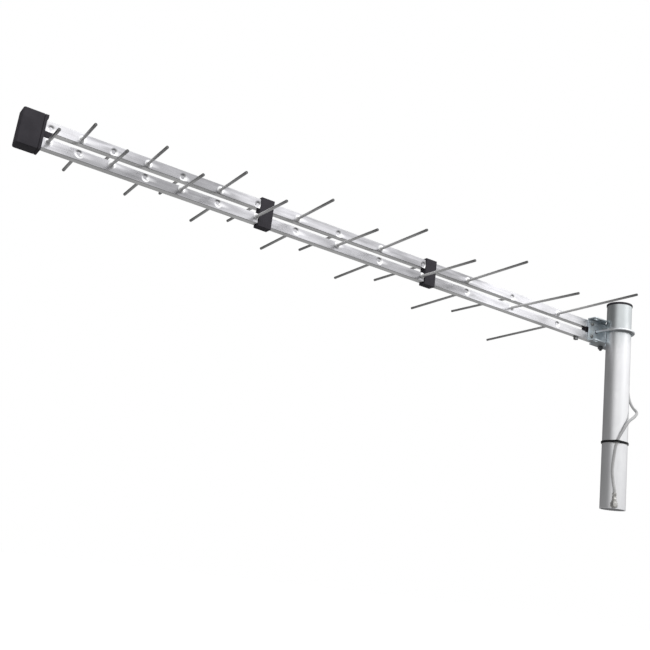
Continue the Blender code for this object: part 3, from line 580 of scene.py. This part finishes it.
def carve(piece, tool_mesh):
    """Cuts tool_mesh out of a piece and keeps only the result."""
    tool = bpy.data.objects.new("cutter", tool_mesh)
    bpy.context.scene.collection.objects.link(tool)
    modifier = piece.modifiers.new("Cut", "BOOLEAN")
    modifier.operation = "DIFFERENCE"
    modifier.object = tool
    graph = bpy.context.evaluated_depsgraph_get()
    result = bpy.data.meshes.new_from_object(piece.evaluated_get(graph))
    piece.modifiers.remove(modifier)
    piece.data = result
    bpy.data.objects.remove(tool, do_unlink=True)


def box_mesh(name, low, high, bevel=0.0, segments=3):
    def build(bm):
        plan = ((low[0], low[1]), (high[0], low[1]), (high[0], high[1]), (low[0], high[1]))
        corners = [(x, y, z) for z in (low[2], high[2]) for x, y in plan]
        skin(bm, (corners[:4], corners[4:]))
        if bevel:
            bmesh.ops.recalc_face_normals(bm, faces=bm.faces)
            bmesh.ops.bevel(
                bm, geom=bm.edges[:], offset=bevel, segments=segments, profile=0.5, affect="EDGES",
                clamp_overlap=True,
            )

    return mesh_of(name, build)


# ---------------------------------------------------------------- camera and lead


def build_camera():
    azimuth, elevation, roll = (math.radians(v) for v in (CAMERA_AZIMUTH, CAMERA_ELEVATION, CAMERA_ROLL))
    level = math.cos(elevation)
    ahead = Vector((math.sin(azimuth) * level, math.cos(azimuth) * level, math.sin(elevation)))
    right = Vector((math.cos(azimuth), -math.sin(azimuth), 0.0))
    up = right.cross(ahead)
    across = right * math.cos(roll) + up * math.sin(roll)
    rise = up * math.cos(roll) - right * math.sin(roll)
    camera = bpy.data.objects.new("camera", bpy.data.cameras.new("camera"))
    bpy.context.scene.collection.objects.link(camera)
    place = Matrix((across, rise, -ahead)).transposed().to_4x4()
    place.translation = CAMERA_PLACE
    camera.matrix_world = place
    camera.data.sensor_width = 36.0
    camera.data.lens = CAMERA_LENS
    camera.data.clip_start = 0.01
    bpy.context.scene.camera = camera


def build_lead():
    points, length = smooth_route([Vector(p) for p in LEAD_ROUTE], LEAD_PARTS, LEAD_STEP)
    curve = tube_curve("lead", points, LEAD_DIAMETER / 2 - 0.02 * MM, 7)
    lead = finish_piece("lead", curve, "grey_lead", "antenna", ["coax_lead"])
    build_plug()


def build_strain_relief():
    """A ribbed boot that tapers along the lead where it leaves the lower boom's stopper."""
    start, after = (Vector(point) for point in LEAD_ROUTE[:2])
    ribs, rib, taper = 4, 1.9 * MM, 0.3 * MM
    profile = []
    for number in range(ribs):
        along, radius = number * rib, BOOT_RADIUS - number * taper
        profile += [(along, radius), (along + 0.65 * rib, radius - 0.1 * MM)]
        profile += [(along + 0.75 * rib, radius - 0.6 * MM), (along + 0.95 * rib, radius - 0.6 * MM)]
    profile.append((ribs * rib, LEAD_DIAMETER / 2 - 0.2 * MM))
    mesh = mesh_of("lead_boot", turned(profile, after - start, start, 40), 30)
    finish_piece("lead_boot", mesh, "black_plastic", "antenna", ["coax_lead"], NYLON)


def build_plug():
    """A crimp plug: pin, ferrule with crimp flats, and a hexagonal coupling nut round its neck."""
    low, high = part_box("f_plug_body")
    axis_place = Vector(((low[0] + high[0]) / 2, (low[1] + high[1]) / 2, low[2]))
    height = high[2] - low[2]
    neck = 11.0 * MM
    body = [
        (0.0, 0.2 * MM),
        (0.4 * MM, 0.45 * MM),
        (3.2 * MM, 0.45 * MM),
        (3.2 * MM, 2.2 * MM),
        (neck, 2.2 * MM),
        (neck, 3.2 * MM),
        (neck + 0.4 * MM, 3.35 * MM),
        (neck + 2.2 * MM, 3.35 * MM),
        (neck + 2.6 * MM, hex_radius(6.0 * MM, 3.2 * MM)),
        (neck + 7.6 * MM, hex_radius(6.0 * MM, 3.2 * MM)),
        (neck + 8.2 * MM, 3.3 * MM),
        (height - 0.5 * MM, 3.3 * MM),
        (height, 2.9 * MM),
    ]
    mesh = mesh_of("plug_body", turned(body, ALONG_Z, axis_place, 48))
    plug = finish_piece("plug_body", mesh, "nickel_plug", "antenna", ["f_plug_body"])

    low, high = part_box("f_plug_nut")
    nut_place = Vector(((low[0] + high[0]) / 2, (low[1] + high[1]) / 2, low[2]))
    height, flats = high[2] - low[2], high[1] - low[1]
    collar = height * 0.72
    outside = hex_profile(flats, 0.0, collar, 0.6 * MM)
    outside += [(collar, 4.4 * MM), (height - 0.3 * MM, 4.4 * MM), (height, 4.1 * MM)]
    inside = [(height, 2.7 * MM), (collar + 0.4 * MM, 2.7 * MM), (collar + 0.4 * MM, 4.1 * MM)]
    inside += thread_profile(collar, 0.2 * MM, 4.3 * MM, 0.8 * MM, 0.35 * MM)
    mesh = mesh_of("plug_nut", turned(outside + inside, ALONG_Z, nut_place, 72, bored=True))
    nut = finish_piece("plug_nut", mesh, "nickel_plug", "plug_nut", ["f_plug_nut"])
    return [plug, nut]


# ---------------------------------------------------------------- the antenna


def stations():
    return [middle(f"arm_{number:02d}_near").x for number in range(1, DIPOLES + 1)]


def arm_boom(node):
    """The boom that an arm stands on, and the height at which the arm crosses it."""
    lower, upper = middle("lower_boom").z, middle("upper_boom").z
    if middle(node).z < (lower + upper) / 2:
        return "lower_boom", lower + ARM_TOWARDS_GAP
    return "upper_boom", upper - ARM_TOWARDS_GAP


def boom_outline(half_width, half_height, corner, face_step):
    """A rounded rectangle as (y, z, side), with closely spaced points on its two upright faces."""
    flat_z = half_height - corner
    steps = round(2 * flat_z / face_step)
    arc = 4
    points = []
    for side, first in ((-1, 1), (1, -1)):
        for step in range(steps + 1):
            z = first * flat_z * (1 - 2 * step / steps)
            points.append((side * half_width, z, side))
        for step in range(1, arc + 1):
            turn = math.pi / 2 * step / arc
            y = side * (half_width - corner + corner * math.cos(turn))
            z = -first * (flat_z + corner * math.sin(turn))
            points.append((y, z, 0))
        for step in range(arc):
            turn = math.pi / 2 * step / arc
            y = -side * (half_width - corner + corner * math.sin(turn))
            z = -first * (flat_z + corner * math.cos(turn))
            points.append((y, z, 0))
    return points


def press_depth(distance, depth):
    """How far the wall is pressed in, or out, at a distance from an arm's axis."""
    return depth * (1 + math.cos(math.pi * min(1.0, distance / DENT_RADIUS))) / 2


def boom_sections(low_x, high_x, places):
    """Places along the boom: wide apart, and close together round each dipole."""
    found = {low_x, high_x}
    steps = math.ceil((high_x - low_x) / (20 * MM))
    found.update(low_x + (high_x - low_x) * step / steps for step in range(steps + 1))
    fine = round(DENT_RADIUS / FACE_STEP) + 1
    for place in places:
        found = {x for x in found if abs(x - place) > FACE_STEP * (fine + 1) or x in (low_x, high_x)}
        found.update(place + FACE_STEP * step for step in range(-fine, fine + 1))
    return sorted(x for x in found if low_x <= x <= high_x)


def build_boom(node):
    low, high = (Vector(corner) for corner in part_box(node))
    centre = (low + high) / 2
    half_width, half_height = (high.y - low.y) / 2, (high.z - low.z) / 2
    places = stations()
    level = ARM_TOWARDS_GAP if node == "lower_boom" else -ARM_TOWARDS_GAP
    leaving = {}
    for side, name in ((-1, "near"), (1, "far")):
        leaving[side] = [arm_boom(f"arm_{n + 1:02d}_{name}")[0] == node for n in range(DIPOLES)]
    outside = boom_outline(half_width, half_height, BOOM_CORNER, FACE_STEP)
    inner_width, inner_height = half_width - BOOM_WALL, half_height - BOOM_WALL
    scale_y, scale_z = inner_width / half_width, inner_height / half_height

    def pressed(x, y, z, side):
        if side == 0:
            return y
        fade = 1 - min(1.0, abs(z) / half_height) ** 8
        for index, place in enumerate(places):
            distance = math.hypot(x - place, z - level)
            if distance < DENT_RADIUS:
                depth = -ARM_BULGE if leaving[side][index] else RIVET_DENT
                y -= side * press_depth(distance, depth) * fade
        return y

    # How strongly each point gets the painted highlight round the fastenings
    def highlight_at(point):
        side = -1 if point.y < centre.y else 1
        best = 0.0
        for index, place in enumerate(places):
            rise = HIGHLIGHT_DROP if leaving[side][index] else -HIGHLIGHT_DROP
            height = point.z - centre.z - level - rise
            distance = math.hypot(point.x - place - HIGHLIGHT_SHIFT, height)
            best = max(best, 1 - (distance / HIGHLIGHT_REACH) ** 3)
        return best

    def build(bm):
        loops = []
        for x in boom_sections(low.x, high.x, places):
            loops.append([(x, centre.y + pressed(x, y, z, side), centre.z + z) for y, z, side in outside])
        for x in (high.x, low.x):
            loops.append([(x, centre.y + y * scale_y, centre.z + z * scale_z) for y, z, _ in outside])
        skin(bm, loops, round_trip=True)

    mesh = mesh_of(node + "_fine", build, 50)
    # The painted highlight round the fastenings, stored on the points
    highlight = mesh.attributes.new("polish_and_highlight", "FLOAT", "POINT")
    for vertex, slot in zip(mesh.vertices, highlight.data):
        slot.value = highlight_at(vertex.co)
    finish_piece(node + "_fine", mesh, "boom_aluminium", "antenna", [node])


def build_arm(node):
    """A rod pressed into its boom: a flared root where it leaves and a domed head on the other face."""
    low, high = (Vector(corner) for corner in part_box(node))
    boom, root_z = arm_boom(node)
    boom_low, boom_high = (Vector(corner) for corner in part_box(boom))
    root = Vector(((low.x + high.x) / 2, (boom_low.y + boom_high.y) / 2, root_z))
    near = root.y - low.y > high.y - root.y
    outward, away = (-1 if near else 1), (1 if boom == "upper_boom" else -1)
    axis = Vector((0, outward * math.cos(ARM_LEAN), away * math.sin(ARM_LEAN)))
    length = (root.y - low.y if near else high.y - root.y) / math.cos(ARM_LEAN) - 0.1 * MM
    half = (boom_high.y - boom_low.y) / 2
    head, foot = half - RIVET_DENT, half + ARM_BULGE - 0.5 * MM
    profile = [
        (-head - 0.8 * MM, 0.3 * MM),
        (-head - 0.7 * MM, 1.1 * MM),
        (-head - 0.4 * MM, 1.8 * MM),
        (-head, 2.2 * MM),
        (-head + 0.4 * MM, 2.3 * MM),
        (-head + 0.6 * MM, ARM_RADIUS),
        (foot - 0.2 * MM, ARM_RADIUS),
    ]
    for step in range(FLARE_STEPS + 1):
        part = step / FLARE_STEPS
        profile.append((foot + FLARE_REACH * part**1.6, ARM_RADIUS + FLARE_WIDTH * (1 - part) ** 1.8))
    rings = 8
    for step in range(2, rings):
        profile.append((half + (length - half) * step / rings, ARM_RADIUS))
    profile += [
        (length - 0.35 * MM, ARM_RADIUS),
        (length - 0.08 * MM, ARM_RADIUS - 0.15 * MM),
        (length, ARM_RADIUS - 0.4 * MM),
        (length - 0.12 * MM, ARM_RADIUS - 0.9 * MM),
    ]
    mesh = mesh_of(node + "_fine", turned(profile, axis, root, ARM_SIDES), 40)
    sawn = mesh.attributes.new("sawn", "FLOAT", "POINT")
    pale_tone = mesh.attributes.new("pale_tone", "FLOAT", "POINT")
    for index, vertex in enumerate(mesh.vertices):
        along = (vertex.co - root).dot(axis)
        sawn.data[index].value = 1.0 if along > length - 0.2 * MM else 0.0
        # Paler towards the root and over the head: painted light, weaker on the far arms
        painted_pale = 1 - max(0.0, along - half) / (length - half)
        pale_tone.data[index].value = painted_pale if near or along < half else FAR_ARM_PALE_TONE * painted_pale
    finish_piece(node + "_fine", mesh, "arm_aluminium", "antenna", [node])


def build_mast():
    low, high = (Vector(corner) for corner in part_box("mast_tube"))
    radius, height = (high.x - low.x) / 2, high.z - low.z
    wall, edge = 2.0 * MM, 0.25 * MM
    profile = [
        (0.0, radius - wall + edge),
        (0.0, radius - edge),
        (edge, radius),
        (height - edge, radius),
        (height, radius - edge),
        (height, radius - wall + edge),
        (height - edge, radius - wall),
        (edge, radius - wall),
    ]
    mesh = mesh_of("mast", turned(profile, ALONG_Z, (0, 0, low.z), 128, bored=True), 40)
    finish_piece("mast", mesh, "mast_steel", "mast", ["mast_tube"])

    low, cap_high = (Vector(corner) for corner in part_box("mast_cap"))
    lip, top = (cap_high.x - low.x) / 2, cap_high.z
    rim_bottom = high.z + 0.1 * MM
    plug = radius - wall - 0.4 * MM
    profile = [
        (low.z, plug - 2.2 * MM),
        (low.z, plug - 1.0 * MM),
        (low.z + 1.5 * MM, plug),
        (rim_bottom, plug),
        (rim_bottom, lip - 0.2 * MM),
        (rim_bottom + 0.2 * MM, lip),
        (top - 0.8 * MM, lip),
        (top - 0.4 * MM, lip - 0.1 * MM),
        (top - 0.1 * MM, lip - 0.4 * MM),
        (top, lip - 0.9 * MM),
        (top - 0.05 * MM, lip - 4.2 * MM),
        (top - 0.6 * MM, lip - 4.8 * MM),
        (top - 0.6 * MM, 2.0 * MM),
        (top - 0.3 * MM, 1.4 * MM),
        (top - 0.3 * MM, 0.3 * MM),
    ]
    mesh = mesh_of("mast_cap_fine", turned(profile, ALONG_Z, (0, 0, 0), 128), 40)
    finish_piece("mast_cap_fine", mesh, "black_plastic", "mast", ["mast_cap"])


def rounded_outline(low, high, corner, inset):
    """(y, z) points round a rectangle with rounded corners, drawn in by inset."""
    parts = 5
    turn_radius = max(corner - inset, 0.2 * MM)
    reach_y = (high.y - low.y) / 2 - inset - turn_radius
    reach_z = (high.z - low.z) / 2 - inset - turn_radius
    centre = (low + high) / 2
    points = []
    for quarter, (side_y, side_z) in enumerate(((1, 1), (-1, 1), (-1, -1), (1, -1))):
        for part in range(parts + 1):
            angle = math.pi / 2 * (quarter + part / parts)
            y = centre.y + side_y * reach_y + turn_radius * math.cos(angle)
            z = centre.z + side_z * reach_z + turn_radius * math.sin(angle)
            points.append((y, z))
    return points


def build_feed_box():
    """A rounded cover, open to the rear, over a base that the booms pass through."""
    low, high = (Vector(corner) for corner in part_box("feed_box_cover"))
    wall, edge, parts = 1.6 * MM, FEED_EDGE, 6
    front = []
    for part in range(parts + 1):
        angle = math.pi / 2 * part / parts
        front.append((low.x + edge * (1 - math.cos(angle)), edge * (1 - math.sin(angle))))
    sections = front + [(high.x - 0.2 * MM, 0.0), (high.x, 0.2 * MM), (high.x, wall), (low.x + wall, wall)]

    def build(bm):
        loops = []
        for x, inset in sections:
            loops.append([(x, y, z) for y, z in rounded_outline(low, high, FEED_CORNER, inset)])
        skin(bm, loops)

    mesh = mesh_of("feed_cover", build, 40)
    finish_piece("feed_cover", mesh, "black_plastic", "feed_cover", ["feed_box_cover"])

    base_low, base_high = (Vector(corner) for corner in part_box("feed_box_base"))

    def outer_corner(edge_here):
        return all(
            min(abs(v.co.y - base_low.y), abs(v.co.y - base_high.y)) < 1e-5
            and min(abs(v.co.z - base_low.z), abs(v.co.z - base_high.z)) < 1e-5
            for v in edge_here.verts
        )

    refined(
        "feed_box_base", "black_plastic", "antenna", 0.25 * MM, 2, wide_edge=outer_corner, wide=FEED_CORNER
    )
    lip_low = Vector((high.x + 3.0 * MM, low.y, high.z - 5.2 * MM))
    lip_high = Vector((high.x + 4.9 * MM, high.y, high.z))
    lip = box_mesh("feed_lip", lip_low, lip_high, 0.6 * MM, 3)
    finish_piece("feed_lip", lip, "black_plastic", "antenna", ["feed_box_base"])


def build_plastics():
    for place in ("front", "rear"):
        for side in ("near", "far"):
            refined(f"spacer_{place}_{side}", "black_plastic", "antenna", 0.45 * MM)
    for node in ("gap_block_middle", "lower_boom_plug", "upper_boom_plug"):
        refined(node, "black_plastic", "antenna", 0.35 * MM)


def build_front_block():
    """The block in front of the clamp, with a head that laps the booms' near faces."""
    low, high = (Vector(corner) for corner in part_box("gap_block_front"))
    boom_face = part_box("lower_boom")[0][1]
    web_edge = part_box("clamp_bracket")[0][0]
    head_front, head_back = web_edge - 3.4 * MM, web_edge - 0.2 * MM
    lap = 1.1 * MM
    refined("gap_block_front", "black_plastic", "antenna", 0.35 * MM, 2)
    near = boom_face - 2.0 * MM
    for name, far, rise in (("head", high.y, 0.0), ("lip", boom_face, lap)):
        corner_low = Vector((head_front, near, low.z - rise))
        corner_high = Vector((head_back, far, high.z + rise))
        mesh = box_mesh("front_block_" + name, corner_low, corner_high, 0.4 * MM, 2)
        finish_piece("front_block_" + name, mesh, "black_plastic", "antenna", ["gap_block_front"])


def build_u_bolt():
    low, high = (Vector(corner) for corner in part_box("u_bolt"))
    radius = (high.z - low.z) / 2
    shank = radius - SHANK_UNDER
    bend = (high.x - low.x) / 2 - radius
    level = (low.z + high.z) / 2
    thread_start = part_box("lower_boom")[0][1] - 3.0 * MM
    points = [Vector((-bend, thread_start, level))]
    steps = 56
    for step in range(steps + 1):
        angle = math.pi + math.pi * step / steps
        points.append(Vector((bend * math.cos(angle), bend * math.sin(angle), level)))
    points.append(Vector((bend, thread_start, level)))
    # The bow gets the painted pale zinc and the right-hand bend the dark fastener zinc: painted light and
    # painted shade
    turn_back = len(points) - BEND_POINTS
    parts = (("bow", points[: turn_back + 1], BOW_ZINC), ("bend", points[turn_back:], None))
    for name, part, material in parts:
        curve = tube_curve("u_bolt_" + name, part, shank, 8)
        finish_piece("u_bolt_" + name, curve, "zinc_fastener", "antenna", ["u_bolt"], material)
    for name, side in (("left", -1), ("right", 1)):
        profile = [(thread_start - 1 * MM, shank - 0.3 * MM), (thread_start, shank)]
        profile += thread_profile(
            thread_start + 1 * MM, high.y - 0.8 * MM, radius - 0.02 * MM, 1.0 * MM, 0.5 * MM
        )
        profile.append((high.y, radius - 1.1 * MM))
        mesh = mesh_of("u_bolt_leg", turned(profile, ALONG_Y, (side * bend, 0, level), 32), 20)
        finish_piece("u_bolt_leg_" + name, mesh, "zinc_fastener", "antenna", ["u_bolt"])
        build_nut("u_bolt_nut_" + name, ALONG_Y, radius)


def build_nut(node, axis, bore):
    """A nut with turned-down corners on a bolt of radius bore."""
    low, high = (Vector(corner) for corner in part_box(node))
    size = high - low
    centre = (low + high) / 2
    height = abs(size.dot(axis))
    flats = min(component for component in size if abs(component - height) > 1e-5)
    profile = hex_profile(flats, -height / 2, height / 2)
    profile += [(height / 2, bore + 0.5 * MM), (height / 2 - 0.5 * MM, bore + 0.05 * MM)]
    profile += [(-height / 2 + 0.5 * MM, bore + 0.05 * MM), (-height / 2, bore + 0.5 * MM)]
    mesh = mesh_of(node + "_fine", turned(profile, axis, centre, 72, bored=True), 30)
    finish_piece(node + "_fine", mesh, "zinc_fastener", "antenna", [node])


def build_boom_bolt():
    low, high = (Vector(corner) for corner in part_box("boom_bolt"))
    centre = (low + high) / 2
    flats, radius, head = high.y - low.y, 2.5 * MM, 3.5 * MM
    profile = [(low.z, radius - 1.0 * MM)]
    profile += thread_profile(low.z + 0.5 * MM, low.z + 16 * MM, radius, 0.8 * MM, 0.4 * MM)
    profile += [(low.z + 16.5 * MM, radius), (high.z - head, radius)]
    profile += hex_profile(flats, high.z - head, high.z)
    mesh = mesh_of("boom_bolt_fine", turned(profile, ALONG_Z, (centre.x, centre.y, 0), 72), 25)
    finish_piece("boom_bolt_fine", mesh, "zinc_fastener", "antenna", ["boom_bolt"])
    build_nut("boom_bolt_nut", ALONG_Z, radius)


def build_boom_screw():
    low, high = (Vector(corner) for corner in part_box("boom_screw"))
    centre = (low + high) / 2
    washer = (high.x - low.x) / 2
    flange = low.z + 3.9 * MM
    profile = [(low.z + 0.5 * MM, 1.5 * MM), (low.z, 2.1 * MM)]
    profile += hex_profile(7.0 * MM, low.z, flange - 0.3 * MM)[1:]
    profile += [
        (flange - 0.2 * MM, washer - 0.7 * MM),
        (flange + 0.3 * MM, washer),
        (flange + 1.0 * MM, washer),
        (flange + 1.0 * MM, 2.0 * MM),
        (high.z - 1.5 * MM, 2.0 * MM),
        (high.z, 0.5 * MM),
    ]
    mesh = mesh_of("boom_screw_fine", turned(profile, ALONG_Z, (centre.x, centre.y, 0), 72), 30)
    finish_piece("boom_screw_fine", mesh, "zinc_fastener", "antenna", ["boom_screw"])


def build_pan_screw(node, axis):
    """A pan-head screw with a cross recess. Its head is at the low end of axis."""
    low, high = (Vector(corner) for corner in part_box(node))
    size = high - low
    length = abs(size.dot(axis))
    radius = max(component for component in size if abs(component - length) > 1e-5) / 2
    centre = (low + high) / 2
    profile = [
        (-length / 2, radius * 0.35),
        (-length / 2 + 0.12 * MM, radius * 0.7),
        (-length / 2 + 0.5 * MM, radius * 0.93),
        (-length / 2 + 1.0 * MM, radius),
        (-length / 2 + 1.6 * MM, radius),
        (-length / 2 + 1.6 * MM, 1.5 * MM),
        (length / 2 - 0.6 * MM, 1.5 * MM),
        (length / 2, 0.8 * MM),
    ]
    mesh = mesh_of(node + "_fine", turned(profile, axis, centre, 40), 30)
    screw = finish_piece(node + "_fine", mesh, "zinc_fastener", "antenna", [node])
    top = centre - axis * length / 2
    across = Vector((axis.y, axis.z, axis.x))
    other = axis.cross(across)
    for along, narrow in ((across, other), (other, across)):
        reach = along * radius * 0.55 + narrow * radius * 0.14 + axis * 0.9 * MM
        corners = [top - reach, top + reach]
        lower = Vector([min(pair) for pair in zip(*corners)])
        upper = Vector([max(pair) for pair in zip(*corners)])
        carve(screw, box_mesh("recess", lower, upper))


def build_tie():
    """A nylon strap round the mast and the lead, with its ratchet head at the side."""
    low, high = (Vector(corner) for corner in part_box("cable_tie"))
    level = (low.z + high.z) / 2
    mast_radius = middle_radius("mast_tube")
    lead = Vector(LEAD_ROUTE[TIE_POINT])
    lead_radius = LEAD_DIAMETER / 2 + 0.5 * MM
    distance, lead_angle = lead.xy.length, math.atan2(lead.y, lead.x)
    half_width = 1.8 * MM
    lead_steps, mast_steps = 12, 120

    def loop(clearance):
        mast_arc, lead_arc = mast_radius + clearance, lead_radius + clearance
        spread = math.acos((mast_arc - lead_arc) / distance)
        points = []
        for step in range(lead_steps + 1):
            angle = lead_angle - spread + 2 * spread * step / lead_steps
            points.append((lead.x + lead_arc * math.cos(angle), lead.y + lead_arc * math.sin(angle)))
        for step in range(1, mast_steps):
            angle = lead_angle + spread + (2 * math.pi - 2 * spread) * step / mast_steps
            points.append((mast_arc * math.cos(angle), mast_arc * math.sin(angle)))
        return points

    inner, outer, rim = loop(0.3 * MM), loop(1.5 * MM), loop(1.25 * MM)

    def build(bm):
        edge = half_width - 0.3 * MM
        levels = (
            (inner, -edge),
            (inner, edge),
            (rim, half_width),
            (outer, edge),
            (outer, -edge),
            (rim, -half_width),
        )
        skin(bm, [[(x, y, level + z) for x, y in points] for points, z in levels], round_trip=True)

    strap = mesh_of("tie_strap", build, 30)
    finish_piece("tie_strap", strap, "black_plastic", "antenna", ["cable_tie"], NYLON)
    head_low = Vector((mast_radius + 0.9 * MM, -2.5 * MM, low.z))
    head_high = Vector((high.x, 2.5 * MM, high.z))
    head = box_mesh("tie_head", head_low, head_high, 0.6 * MM, 3)
    finish_piece("tie_head", head, "black_plastic", "antenna", ["cable_tie"], NYLON)


def middle_radius(node):
    low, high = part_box(node)
    return (high[0] - low[0]) / 2


def build_antenna():
    for node in ("lower_boom", "upper_boom"):
        build_boom(node)
    for number in range(1, DIPOLES + 1):
        for side in ("near", "far"):
            build_arm(f"arm_{number:02d}_{side}")
    build_feed_box()
    build_plastics()
    build_front_block()
    refined("clamp_bracket", "zinc_sheet", "antenna", 0.3 * MM, 2)
    refined("clamp_back_plate", "zinc_sheet", "antenna", 0.5 * MM)
    build_u_bolt()
    build_boom_bolt()
    build_boom_screw()
    build_pan_screw("web_screw_lower", ALONG_Y)
    build_pan_screw("web_screw_upper", ALONG_Y)
    build_pan_screw("feed_screw_lower", ALONG_Z)
    build_pan_screw("feed_screw_upper", -ALONG_Z)
    build_tie()


# ---------------------------------------------------------------- studio


def build_floor():
    def build(bm):
        corners = [(x * FLOOR_HALF, y * FLOOR_HALF, FLOOR_Z) for x, y in ((-1, -1), (1, -1), (1, 1), (-1, 1))]
        bm.faces.new([bm.verts.new(corner) for corner in corners])

    look = Look("floor_paper", 0.9, 0.0)
    fibres = look.noise(60, 3)
    look.colour(look.blend(look.ranged(fibres, 0.0, 1.0), (0.93, 0.93, 0.93), (0.90, 0.90, 0.90)))
    look.shader.inputs["Emission Color"].default_value = (1, 1, 1, 1)
    look.shader.inputs["Emission Strength"].default_value = 0.45
    floor = bpy.data.objects.new("floor", mesh_of("floor", build))
    bpy.context.scene.collection.objects.link(floor)
    floor.data.materials.append(look.material)
    floor.visible_glossy = False
    floor.visible_diffuse = False


def build_world():
    """White where the camera sees it. To light and reflections it is bright on the near side, grey behind."""
    world = bpy.data.worlds.new("studio")
    bpy.context.scene.world = world
    world.use_nodes = True
    tree = world.node_tree
    tree.nodes.clear()
    link = tree.links.new

    def add(kind, **settings):
        node = tree.nodes.new(kind)
        for name, value in settings.items():
            setattr(node, name, value)
        return node

    def smooth(value, low, high, bottom, top):
        node = add("ShaderNodeMapRange", interpolation_type="SMOOTHSTEP")
        link(value, node.inputs["Value"])
        for name, number in (("From Min", low), ("From Max", high), ("To Min", bottom), ("To Max", top)):
            node.inputs[name].default_value = number
        return node.outputs["Result"]

    direction = add("ShaderNodeTexCoord").outputs["Generated"]
    toward = add("ShaderNodeVectorMath", operation="DOT_PRODUCT")
    link(direction, toward.inputs[0])
    toward.inputs[1].default_value = Vector(KEY_SIDE).normalized()
    parts = add("ShaderNodeSeparateXYZ")
    link(direction, parts.inputs[0])
    front = smooth(toward.outputs["Value"], -0.40, 0.42, 0.0, 1.0)
    behind = smooth(parts.outputs["Z"], -0.15, 0.20, BACK_LIGHT_BELOW, BACK_LIGHT_ABOVE)
    bright = smooth(parts.outputs["Z"], -0.45, 0.60, FRONT_LIGHT_BELOW, FRONT_LIGHT_ABOVE)
    strength = add("ShaderNodeMix", data_type="FLOAT")
    for socket, value in zip(("Factor", "A", "B"), (front, behind, bright)):
        link(value, next(s for s in strength.inputs if s.name == socket and s.type == "VALUE"))
    strength = next(s for s in strength.outputs if s.type == "VALUE")

    studio = add("ShaderNodeBackground")
    link(strength, studio.inputs["Strength"])
    backdrop = add("ShaderNodeBackground")
    pick = add("ShaderNodeMixShader")
    ray = add("ShaderNodeLightPath")
    link(ray.outputs["Is Camera Ray"], pick.inputs["Fac"])
    link(studio.outputs[0], pick.inputs[1])
    link(backdrop.outputs[0], pick.inputs[2])
    backdrop.inputs["Color"].default_value = (1, 1, 1, 1)
    link(pick.outputs[0], add("ShaderNodeOutputWorld").inputs["Surface"])
    bpy.context.scene.view_settings.view_transform = "Standard"


def build_lights():
    """Large soft lamps: a key from the upper right and a rim from behind."""
    aim = Vector((-0.45, 0.03, 0.25))
    for name, place, size, power in (
        ("key", (0.9, -2.1, 2.2), 2.6, 12.0),
        ("rim", (-0.4, 2.2, 2.4), 2.0, 8.0),
    ):
        lamp = bpy.data.lights.new(name, "AREA")
        lamp.shape, lamp.size, lamp.energy = "DISK", size, power
        holder = bpy.data.objects.new(name, lamp)
        bpy.context.scene.collection.objects.link(holder)
        holder.location = place
        holder.rotation_euler = (aim - Vector(place)).to_track_quat("-Z", "Y").to_euler()


build_camera()
build_lead()
build_strain_relief()
build_mast()
build_antenna()
build_floor()
build_world()
build_lights()
